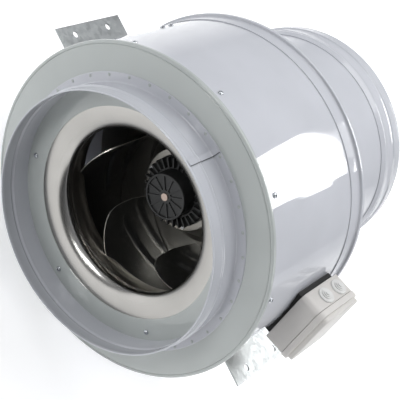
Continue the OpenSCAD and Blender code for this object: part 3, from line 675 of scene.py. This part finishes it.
def floor_paper():
    # Pale seamless studio paper with hardly visible fibres.
    made, tree, shader, place = blank("floor_paper")
    fibres = noise(tree, place, 3.0, 4.0)
    tree.links.new(
        blended(tree, fibres, colour("fafafa"), colour("ffffff")), shader.inputs["Base Color"]
    )
    shader.inputs["Roughness"].default_value = 0.9
    # The paper is lit from behind a little, so that it stays white round the fan.
    shader.inputs["Emission Color"].default_value = colour("ffffff")
    shader.inputs["Emission Strength"].default_value = 0.3
    return made


# ---------------------------------------------------------------- casing


def painted(name, bm, *nodes):
    """A piece of the casing, in its paint."""
    return piece(name, bm, "housing", "casing_paint", material_once(casing_paint), *nodes)


def spigot_profile(sizes, mouth, base, way):
    """The wall of a spigot, from its flange's end to its mouth and back along the inside."""
    r, t = sizes.spigot_r, sizes.sheet
    outside = [(r - 0.1, mouth + way * 6.4), (r - 0.45, mouth + way * 6.0)]
    outside += [(r - 0.1, mouth + way * 5.6), (r, mouth + way * 5.0)]
    lip = arc(r - 1.15, mouth + way * 1.15, 1.15, 0, -180 * way, 10)
    inside = [(r - 2.3, mouth + way * 5.0), (r - t, mouth + way * 6.4)]
    outer_bead = bead(r, mouth + way * sizes.bead_at, sizes.bead_w, sizes.bead_h)
    inner_bead = bead(r - t, mouth + way * sizes.bead_at, sizes.bead_w, sizes.bead_h)
    if way < 0:
        outer_bead.reverse()
        inner_bead.reverse()
    return (
        [(r - t, base)]
        + inner_bead[::-1]
        + inside[::-1]
        + lip[::-1]
        + outside[::-1]
        + [(r, mouth + way * 7.2)]
        + outer_bead
    )


class FAN_OT_inlet_spigot(bpy.types.Operator):
    """Inlet spigot: a rolled tube with a hem, a bead and a flange on the end plate"""

    bl_idname = "fan.inlet_spigot"
    bl_label = "Inlet Spigot"

    def execute(self, context):
        sizes = context.scene.fan_sizes
        r, t = sizes.spigot_r, sizes.sheet
        fillet = arc(r + FILLET_R, FRONT_Y - t - FILLET_R, FILLET_R, 180, 90, 6)
        rim = r + sizes.flange_w
        profile = spigot_profile(sizes, 0.0, FRONT_Y, 1)
        profile += fillet
        profile += [(rim - 0.7, FRONT_Y - t), (rim, FRONT_Y - t + 0.7), (rim, FRONT_Y)]
        bm = bmesh.new()
        spun(bm, profile, ROUND_STEPS)
        painted("inlet_spigot_shell", bm, "inlet_spigot")
        return {"FINISHED"}


class FAN_OT_front_plate(bpy.types.Operator):
    """Front end plate: a flat ring with a pressed line and a rolled lip round the drum"""

    bl_idname = "fan.front_plate"
    bl_label = "Front End Plate"

    def execute(self, context):
        sizes = context.scene.fan_sizes
        t, y = sizes.sheet, FRONT_Y
        line = LIP_R - 5.5
        profile = [(sizes.bell_r, y + t), (sizes.bell_r, y + 0.3), (sizes.bell_r + 0.3, y)]
        # The pressed line is a groove 2 mm wide and 0.9 mm deep.
        profile += [(line - 1.0, y), (line - 0.5, y + 0.25), (line, y + 0.9)]
        profile += [(line + 0.5, y + 0.25), (line + 1.0, y)]
        profile += arc(LIP_R - 3.4, y + 3.4, 3.4, -90, 0, 8)
        profile += arc(LIP_R - 2.2, y + 4.8, 2.2, 0, 90, 6)
        profile += [(sizes.drum_r + 0.2, y + 7.0), (sizes.drum_r + 0.2, y + t)]
        bm = bmesh.new()
        spun(bm, profile, ROUND_STEPS)
        piece(
            "front_plate_shell",
            bm,
            "housing",
            "plate_paint",
            material_once(plate_paint),
            "front_end_plate",
        )
        return {"FINISHED"}


class FAN_OT_drum(bpy.types.Operator):
    """Drum: rolled sheet between the end plates"""

    bl_idname = "fan.drum"
    bl_label = "Drum"

    def execute(self, context):
        sizes = context.scene.fan_sizes
        low, high = span("drum_casing", 1)
        r, t = sizes.drum_r, sizes.sheet
        bm = bmesh.new()
        spun(bm, [(r, low), (r, high), (r - t, high), (r - t, low)], ROUND_STEPS)
        painted("drum_shell", bm, "drum_casing")
        return {"FINISHED"}


class FAN_OT_rear_plate(bpy.types.Operator):
    """Rear end plate: its skirt grips the drum, and its lip stands out like the front one"""

    bl_idname = "fan.rear_plate"
    bl_label = "Rear End Plate"

    def execute(self, context):
        sizes = context.scene.fan_sizes
        t, y, inner = sizes.sheet, REAR_Y, sizes.drum_r + 0.2
        outer = inner + t
        profile = [(sizes.duct_r - t, y), (sizes.duct_r - t, y - t), (inner, y - t)]
        profile += [(inner, y - sizes.skirt)]
        profile += arc(outer - 0.9, y - sizes.skirt + 0.9, 0.9, -90, 0, 4)
        profile += arc(outer + 1.8, y - 8.8, 1.8, 180, 90, 5)
        profile += arc(LIP_R - 1.6, y - 5.4, 1.6, -90, 0, 5)
        profile += arc(LIP_R - 1.6, y - 1.6, 1.6, 0, 90, 5)
        bm = bmesh.new()
        spun(bm, profile, ROUND_STEPS)
        painted("rear_plate_shell", bm, "rear_end_plate")
        return {"FINISHED"}


class FAN_OT_outlet(bpy.types.Operator):
    """Outlet duct with its flange, and the outlet spigot that is sleeved onto it"""

    bl_idname = "fan.outlet"
    bl_label = "Outlet Duct And Spigot"

    def execute(self, context):
        sizes = context.scene.fan_sizes
        t, r = sizes.sheet, sizes.duct_r
        end = span("outlet_duct", 1)[1]
        joint = end - 8.0
        profile = [(r - t, REAR_Y), (r - t, end), (r, end)]
        profile += arc(r + FILLET_R, REAR_Y + t + FILLET_R, FILLET_R, 180, 270, 6)
        profile += [(r + sizes.flange_w - 0.5, REAR_Y + t), (r + sizes.flange_w, REAR_Y + t - 0.5)]
        profile += [(r + sizes.flange_w, REAR_Y)]
        bm = bmesh.new()
        spun(bm, profile, ROUND_STEPS)
        painted("outlet_duct_shell", bm, "outlet_duct")
        sleeve = r + 0.2
        profile = spigot_profile(sizes, OUTLET_Y, joint + 8, -1)
        profile += [(sizes.spigot_r, joint + 9), (sizes.spigot_r + 1.2, joint + 5)]
        profile += [(sizes.spigot_r + 1.7, joint + 2), (sizes.spigot_r + 1.2, joint - 1)]
        profile += [(sleeve + t + 0.4, joint - 5), (sleeve + t, joint - 7)]
        profile += [(sleeve + t - 0.5, joint - 8), (sleeve, joint - 8), (sleeve, joint + 6)]
        bm = bmesh.new()
        spun(bm, profile, ROUND_STEPS)
        painted("outlet_spigot_shell", bm, "outlet_spigot")
        return {"FINISHED"}


# ---------------------------------------------------------------- air path


def bell_curve(cr, cy, ar, ay, start, end, steps, push=0.0):
    """Points of an ellipse's quarter, pushed out along its normals."""
    points = []
    for i in range(steps + 1):
        a = math.radians(start + (end - start) * i / steps)
        nr, ny = ay * math.cos(a), ar * math.sin(a)
        size = math.hypot(nr, ny)
        points.append(
            (cr + ar * math.cos(a) + push * nr / size, cy + ay * math.sin(a) + push * ny / size)
        )
    return points


class FAN_OT_nozzle(bpy.types.Operator):
    """Inlet nozzle: a spun bell that narrows to the throat and flares out behind it"""

    bl_idname = "fan.nozzle"
    bl_label = "Inlet Nozzle"

    def execute(self, context):
        sizes = context.scene.fan_sizes
        t = 1.2
        throat_y = FRONT_Y + sizes.sheet + sizes.bell_depth
        flare_out, steps = 5.5, 8
        width = sizes.bell_r - sizes.throat_r
        face = bell_curve(sizes.bell_r, throat_y, -width, -sizes.bell_depth, 90, 0, 28)
        flare = [
            (sizes.throat_r + flare_out * (i / steps) ** 2, throat_y + sizes.flare * i / steps)
            for i in range(1, steps + 1)
        ]
        back = [(r + t, y) for r, y in flare[::-1]]
        back += [(r + t * 0.8, y + t * 0.8) for r, y in face[::-1]]
        flange_r = span("inlet_nozzle", 0)[1]
        profile = [(flange_r, FRONT_Y + sizes.sheet + t), (flange_r, FRONT_Y + sizes.sheet)]
        bm = bmesh.new()
        spun(bm, profile + face + flare + back, ROUND_STEPS)
        piece(
            "nozzle_bell",
            bm,
            "housing",
            "spun_steel",
            material_once(spun_steel),
            "inlet_nozzle",
        )
        return {"FINISHED"}


class FAN_OT_shroud(bpy.types.Operator):
    """Impeller shroud: a spun ring with a smooth curve"""

    bl_idname = "fan.shroud"
    bl_label = "Impeller Shroud And Back Plate"

    def execute(self, context):
        sizes = context.scene.fan_sizes
        eye_y, end_y = span("impeller_shroud", 1)
        t = 1.5
        bend = FRONT_Y + sizes.sheet + sizes.bell_depth + sizes.flare + 6.0
        wide, deep = sizes.impeller_r - sizes.eye_r, end_y - t - bend
        outside = bell_curve(sizes.impeller_r, bend, wide, deep, 180, 90, 28)
        inside = bell_curve(sizes.impeller_r, bend, wide, deep, 180, 90, 28, t)
        bm = bmesh.new()
        spun(bm, [(sizes.eye_r, eye_y)] + outside + inside[::-1] + [(sizes.eye_r - t, eye_y)])
        piece(
            "shroud_shell",
            bm,
            "rotor",
            "impeller_steel",
            material_once(impeller_steel),
            "impeller_shroud",
        )
        return {"FINISHED"}


class FAN_OT_blades(bpy.types.Operator):
    """Blades: curved sheets with a rounded nose and two pressed ribs each"""

    bl_idname = "fan.blades"
    bl_label = "Impeller Blades"

    # Leading edge from the shroud to the back plate, as points [radius, y].
    nose = ((139.5, 113.3), (133.5, 115.2), (127.0, 119.0), (120.5, 124.4), (115.5, 129.8))
    nose_low = ((111.3, 136.5), (109.0, 143.5), (107.2, 155.5), (106.5, 169.0), (106.6, 196.0))
    # Both ends of each rib, as points [radius, y], and the ribs' height and half width.
    ribs = (((122.0, 176.0), (165.0, 206.0)), ((113.5, 212.0), (152.0, 241.0)))
    rib_h, rib_w = 3.6, 5.5
    count, thick, across, along = 6, 1.4, 64, 72
    # The rows of the sheet fan out from the shroud by this much, so that none fold over.
    fan_out = 6.0

    def shroud_y(self, sizes, r, bend, deep):
        """How far along the axis the shroud's inner face is, at a radius."""
        wide = sizes.impeller_r - sizes.eye_r
        out = min(max((sizes.impeller_r - r) / wide, 0.0), 1.0)
        return bend + deep * math.sqrt(1 - out * out) + 1.6

    def rib_height(self, r, y):
        """How far the sheet is pressed out at a place on the blade."""
        height = 0.0
        for (r0, y0), (r1, y1) in self.ribs:
            length = math.hypot(r1 - r0, y1 - y0)
            part = ((r - r0) * (r1 - r0) + (y - y0) * (y1 - y0)) / length**2
            part = min(max(part, 0.0), 1.0)
            gap = math.hypot(r - r0 - part * (r1 - r0), y - y0 - part * (y1 - y0))
            height = max(height, self.rib_h * max(0.0, 1 - (gap / self.rib_w) ** 2) ** 0.8)
        return height

    def execute(self, context):
        sizes = context.scene.fan_sizes
        back_y = span("impeller_back_plate", 1)[1] - 1.5
        end_y = span("impeller_shroud", 1)[1] - 1.5
        bend = FRONT_Y + sizes.sheet + sizes.bell_depth + sizes.flare + 6.0
        deep = end_y - bend
        nose = list(self.nose) + list(self.nose_low) + [(109.0, 226.0), (110.5, back_y - 3.0)]
        for number in range(self.count):
            bm = bmesh.new()
            shift = sizes.blade_shift + 360 / self.count * number
            for depth in (0.0, self.thick):
                grid = bmesh.ops.create_grid(
                    bm, x_segments=self.across, y_segments=self.along, size=1.0
                )
                for vert in grid["verts"]:
                    u, v = (vert.co.x + 1) / 2, (vert.co.y + 1) / 2
                    # v runs down the nose from the shroud to the back plate, u from the nose out
                    at = v * (len(nose) - 1)
                    k = min(int(at), len(nose) - 2)
                    f = at - k
                    nose_r = nose[k][0] * (1 - f) + nose[k + 1][0] * f
                    nose_y = nose[k][1] * (1 - f) + nose[k + 1][1] * f
                    r = nose_r + (sizes.impeller_r - nose_r) * u
                    far = end_y + 1.5 + (back_y - end_y - 1.6) * v
                    y = nose_y + (far - nose_y) * u
                    if r > sizes.eye_r - 2:
                        y = max(y, self.shroud_y(sizes, r, bend, deep) + self.fan_out * v)
                    turn = math.log(r / (sizes.eye_r - 1.5)) / math.tan(sizes.blade_angle)
                    a = math.radians(shift) + turn
                    lean = a + math.pi - sizes.blade_angle
                    press = -self.rib_height(r, y) - depth
                    vert.co = Vector(
                        (
                            (r * math.cos(a) + press * math.cos(lean)) * MM,
                            y * MM,
                            (r * math.sin(a) + press * math.sin(lean)) * MM,
                        )
                    )
            # The rim faces take the near-white edge material: a painted highlight along each
            # blade's edge.
            rim = [edge for edge in bm.edges if edge.is_boundary]
            for face in bmesh.ops.bridge_loops(bm, edges=rim)["faces"]:
                face.material_index = 1
            bmesh.ops.recalc_face_normals(bm, faces=bm.faces)
            made = piece(
                "blade_sheet_%d" % (number + 1),
                bm,
                "rotor",
                "blade_steel",
                material_once(blade_steel),
                "impeller_blade_%d" % (number + 1),
                sharp=50.0,
            )
            made.data.materials.append(material_once(cut_edge_and_highlight))
        return {"FINISHED"}


# ---------------------------------------------------------------- seams, screws, box


class FAN_OT_seams(bpy.types.Operator):
    """Lap seams: the inlet spigot's, and two along the outlet duct"""

    bl_idname = "fan.seams"
    bl_label = "Lap Seams"

    duct_angles = (91.0, 78.0)

    def execute(self, context):
        sizes = context.scene.fan_sizes
        r = sizes.spigot_r + 0.5
        wall = [(r, 3.0), (r, sizes.bead_at - 4)]
        wall += bead(r, sizes.bead_at, sizes.bead_w, sizes.bead_h)
        wall += [(r, sizes.bead_at + 5), (r, FRONT_Y - 4.5), (r + 1.0, FRONT_Y - 2.5)]
        wall += [(r + 2.6, FRONT_Y - 1.6), (r + sizes.flange_w - 1, FRONT_Y - 1.5)]
        bm = bmesh.new()
        ribbon(bm, wall, math.degrees(sizes.seam_angle), 2.4, 0.9)
        painted("inlet_seam", bm)
        # A thin dark strip at the lap's edge: painted shadow of the step.
        bm = bmesh.new()
        ribbon(bm, wall, math.degrees(sizes.seam_angle) - 0.3, 0.35, 0.5)
        piece("inlet_seam_shadow_line", bm, "housing", "black_rubber", material_once(seam_shadow_paint))
        duct = [(sizes.duct_r, REAR_Y + 4), (sizes.duct_r, span("outlet_duct", 1)[1] - 18)]
        for number, angle in enumerate(self.duct_angles):
            bm = bmesh.new()
            ribbon(bm, duct, angle, 1.6, 0.6)
            painted("duct_seam_%d" % (number + 1), bm)
        return {"FINISHED"}


class FAN_OT_screws(bpy.types.Operator):
    """Pan-head screws of the drum and the nozzle"""

    bl_idname = "fan.screws"
    bl_label = "Pan-Head Screws"

    # Clock angles of the first screw of each ring, and the sizes that all screws share.
    drum_start, nozzle_start = 0.8, 37
    head_h, shank_r, shank_l = 2.9, 2.0, 9.0

    def execute(self, context):
        sizes = context.scene.fan_sizes
        out = Matrix.Rotation(math.radians(90), 4, "Y")
        bm = bmesh.new()
        for number in range(sizes.drum_screws):
            at = (sizes.drum_r * MM, (FRONT_Y + sizes.drum_screw_at) * MM, 0)
            turn = clock(self.drum_start + 360 / sizes.drum_screws * number)
            place = turn @ Matrix.Translation(at) @ out
            pan_head(bm, place, sizes.screw_r, self.head_h, self.shank_r, self.shank_l)
        piece(
            "drum_pan_screws",
            bm,
            "housing",
            "zinc_steel",
            material_once(zinc_plate),
            "drum_screws",
        )
        forward = Matrix.Rotation(math.radians(90), 4, "X")
        bm = bmesh.new()
        for number in range(sizes.nozzle_screws):
            at = (sizes.nozzle_screw_r * MM, FRONT_Y * MM, 0)
            turn = clock(self.nozzle_start + 360 / sizes.nozzle_screws * number)
            place = turn @ Matrix.Translation(at) @ forward
            pan_head(bm, place, sizes.screw_r, self.head_h, self.shank_r, self.shank_l)
        piece(
            "nozzle_pan_screws",
            bm,
            "housing",
            "zinc_steel",
            material_once(zinc_plate),
            "nozzle_screws",
        )
        return {"FINISHED"}


class FAN_OT_box(bpy.types.Operator):
    """Terminal box and its lid, moulded with round corners and soft edges"""

    bl_idname = "fan.box"
    bl_label = "Terminal Box"

    def execute(self, context):
        sizes = context.scene.fan_sizes
        floor = sizes.drum_r + sizes.box_stand
        middle = sum(span("terminal_box", 1)) / 2
        turn = Matrix(((0, 0, 1, 0), (1, 0, 0, 0), (0, 1, 0, 0), (0, 0, 0, 1)))
        place = clock(math.degrees(sizes.box_angle))
        place = place @ Matrix.Translation((floor * MM, middle * MM, 0)) @ turn
        corner, wall = sizes.box_corner, 2.5
        bm = bmesh.new()
        round_block(
            bm, sizes.box_len, sizes.box_w, 0, sizes.box_h - 0.8, corner, 1.2, wall, open_top=True
        )
        bmesh.ops.transform(bm, matrix=place, verts=bm.verts)
        piece(
            "box_shell",
            bm,
            "housing",
            "box_plastic",
            material_once(box_plastic),
            "terminal_box",
        )
        low, mid = sizes.box_h, sizes.box_h + sizes.rim_h
        bm = bmesh.new()
        round_block(bm, sizes.box_len + 2.4, sizes.box_w + 2.4, low, mid, corner + 1.2, 2.2, wall)
        round_block(
            bm, sizes.box_len - 7, sizes.box_w - 7, mid - 3, mid + sizes.panel_h, corner - 3, 2.6
        )
        bmesh.ops.transform(bm, matrix=place, verts=bm.verts)
        piece(
            "lid_shell",
            bm,
            "housing",
            "box_plastic",
            material_once(box_plastic),
            "box_lid",
        )
        return {"FINISHED"}


# ---------------------------------------------------------------- finishes of the other parts


class FAN_OT_finishes(bpy.types.Operator):
    """Materials of the parts whose shape is finished already"""

    bl_idname = "fan.finishes"
    bl_label = "Finishes"

    def execute(self, context):
        dress(
            material_once(zinc_plate),
            "impeller_screws",
            "motor_screws",
            "support_screws",
            "bracket_rivets",
            "box_screws",
            "lid_screws",
            "earth_screws",
            "shaft_clip",
        )
        dress(
            material_once(galvanised_steel), "left_bracket", "right_bracket", "motor_support"
        )
        # The rivets on the front plate share its paint, painted shade included.
        dress(material_once(plate_paint), "inlet_flange_rivets")
        dress(material_once(casing_paint), "outlet_duct_rivets")
        dress(material_once(impeller_steel), "impeller_back_plate")
        dress(material_once(rotor_black), "rotor_can", "rotor_cover")
        dress(material_once(motor_alloy), "stator_base", "rotor_cage")
        dress(material_once(shaft_steel), "motor_shaft", "front_bearing", "rear_bearing")
        dress(material_once(laminations), "stator_core")
        dress(material_once(copper_wire), "stator_windings")
        dress(material_once(grommet_rubber), "cable_grommets")
        dress(
            material_once(black_rubber), "box_gasket", "lid_gasket", "cable_bush", "motor_cable"
        )
        dress(material_once(white_plastic), "terminal_block", "capacitor")
        return {"FINISHED"}


# ---------------------------------------------------------------- studio


class FAN_OT_stage(bpy.types.Operator):
    """Studio: pale floor, soft lights and the camera"""

    bl_idname = "fan.stage"
    bl_label = "Studio"

    def hang(self, name, data, place, aim):
        """Puts a light in the studio and points it at a place, in metres."""
        made = bpy.data.objects.new(name, data)
        made.location = place
        made.rotation_mode = "QUATERNION"
        made.rotation_quaternion = (Vector(aim) - Vector(place)).to_track_quat("-Z", "Y")
        bpy.context.scene.collection.objects.link(made)

    def light(self, name, place, aim, size, power):
        """A soft square light, in metres and watts."""
        data = bpy.data.lights.new(name, "AREA")
        data.shape = "RECTANGLE"
        data.size = data.size_y = size
        data.energy = power
        self.hang(name, data, place, aim)

    def throat_light(self):
        """A lamp that shines into the inlet, so that the blades don't drown in the dark."""
        data = bpy.data.lights.new("throat_lamp", "SPOT")
        data.energy = 110
        data.spot_size = math.radians(7.5)
        data.spot_blend = 0.8
        data.shadow_soft_size = 0.09
        self.hang("throat_lamp", data, (-0.30, -1.5, 0.7), (0.01, 0.14, -0.03))

    def sky(self, context):
        """The studio's own light: bright behind the fan and above, dim in front of it."""
        world = bpy.data.worlds.new("studio")
        context.scene.world = world
        world.use_nodes = True
        tree = world.node_tree
        sky = tree.nodes["Background"]
        way = add(tree, "ShaderNodeTexCoord").outputs["Generated"]
        bright = Vector((-0.35, 0.62, 0.70)).normalized()
        lean = add(
            tree, "ShaderNodeVectorMath", {0: way, 1: bright}, operation="DOT_PRODUCT"
        ).outputs["Value"]
        tree.links.new(ranged(tree, lean, -0.5, 0.9, 0.08, 0.62), sky.inputs["Strength"])
        sky.inputs["Color"].default_value = colour("f6f8fd")

    def banner(self):
        """A bright screen high behind the fan, with a stepped lower edge."""
        # Corners, in millimetres across and down from the screen's middle.
        outline = ((995, -340), (1011, -283), (1035, -102), (1029, 11), (839, 1), (527, -37))
        outline += ((165, -100), (-232, -91), (-231, -155), (-337, -156), (-326, -217))
        outline += ((-314, -278), (-227, -293), (-193, -355), (-200, -442), (-195, -540))
        middle = Vector((0.941, 2.679, 1.367))
        across, down = Vector((-0.8236, 0.0, 0.5671)), Vector((-0.4724, 0.5533, -0.6861))
        bm = bmesh.new()
        verts = [bm.verts.new(middle + (across * u + down * v) * MM) for u, v in outline]
        bm.faces.new(verts)
        mesh = bpy.data.meshes.new("studio_screen")
        bm.to_mesh(mesh)
        bm.free()
        screen = bpy.data.objects.new("studio_screen", mesh)
        bpy.context.scene.collection.objects.link(screen)
        # Lit white fabric, much brighter than the rest of the studio.
        made, _, shader, _ = blank("lit_screen")
        shader.inputs["Emission Color"].default_value = colour("ffffff")
        shader.inputs["Emission Strength"].default_value = 11.0
        mesh.materials.append(made)
        screen.visible_camera = False

    def execute(self, context):
        floor_half, gap = 9.0, 0.001
        bm = bmesh.new()
        bmesh.ops.create_grid(bm, x_segments=1, y_segments=1, size=floor_half)
        for vert in bm.verts:
            vert.co.z = cad_box[0].z - gap
        mesh = bpy.data.meshes.new("studio_floor")
        bm.to_mesh(mesh)
        bm.free()
        floor = bpy.data.objects.new("studio_floor", mesh)
        context.scene.collection.objects.link(floor)
        mesh.materials.append(material_once(floor_paper))

        self.sky(context)
        middle = (0.0, 0.2, 0.0)
        self.light("overhead", (-0.5, 0.9, 2.7), middle, 2.2, 40)
        self.light("side_panel", (2.4, 0.2, 1.3), middle, 1.0, 18)
        self.light("front_fill", (-1.3, -2.1, 1.5), middle, 0.8, 24)
        self.light("ear_panel", (0.68, 2.4, 2.0), (0.3, 0.2, 0.0), 0.8, 3)
        self.throat_light()
        self.banner()
        context.scene.view_settings.view_transform = "Standard"

        data = bpy.data.cameras.new("camera")
        camera = bpy.data.objects.new("camera", data)
        context.scene.collection.objects.link(camera)
        data.sensor_width = 36.0
        data.lens = 96.6843
        ahead = Vector((-0.025561, 0.761411, -0.647765)).normalized()
        up = Vector((-0.889436, 0.278475, 0.362429))
        up = (up - ahead * up.dot(ahead)).normalized()
        right = ahead.cross(up)
        turn = Matrix((right, up, -ahead)).transposed()
        camera.matrix_world = Matrix.Translation((0.0711, -1.07563, 1.10485)) @ turn.to_4x4()
        data.clip_start, data.clip_end = 0.05, 30.0
        context.scene.camera = camera
        return {"FINISHED"}


# ---------------------------------------------------------------- add-on


class FAN_PT_panel(bpy.types.Panel):
    """Buttons that build the fan, piece by piece"""

    bl_label = "Duct Fan"
    bl_idname = "FAN_PT_panel"
    bl_space_type = "VIEW_3D"
    bl_region_type = "UI"
    bl_category = "Duct Fan"

    def draw(self, context):
        for operator in OPERATORS:
            self.layout.operator(operator.bl_idname)


OPERATORS = (
    FAN_OT_inlet_spigot,
    FAN_OT_front_plate,
    FAN_OT_drum,
    FAN_OT_rear_plate,
    FAN_OT_outlet,
    FAN_OT_nozzle,
    FAN_OT_shroud,
    FAN_OT_blades,
    FAN_OT_seams,
    FAN_OT_screws,
    FAN_OT_box,
    FAN_OT_finishes,
    FAN_OT_stage,
)
CLASSES = (FanSizes, FanColours) + OPERATORS + (FAN_PT_panel,)


def register():
    for kind in CLASSES:
        bpy.utils.register_class(kind)
    bpy.types.Scene.fan_sizes = bpy.props.PointerProperty(type=FanSizes)
    bpy.types.Scene.fan_colours = bpy.props.PointerProperty(type=FanColours)


def unregister():
    del bpy.types.Scene.fan_sizes
    del bpy.types.Scene.fan_colours
    for kind in reversed(CLASSES):
        bpy.utils.unregister_class(kind)


def main():
    register()
    bpy.ops.fan.inlet_spigot()
    bpy.ops.fan.front_plate()
    bpy.ops.fan.drum()
    bpy.ops.fan.rear_plate()
    bpy.ops.fan.outlet()
    bpy.ops.fan.nozzle()
    bpy.ops.fan.shroud()
    bpy.ops.fan.blades()
    bpy.ops.fan.seams()
    bpy.ops.fan.screws()
    bpy.ops.fan.box()
    bpy.ops.fan.finishes()
    bpy.ops.fan.stage()


if __name__ == "__main__":
    main()
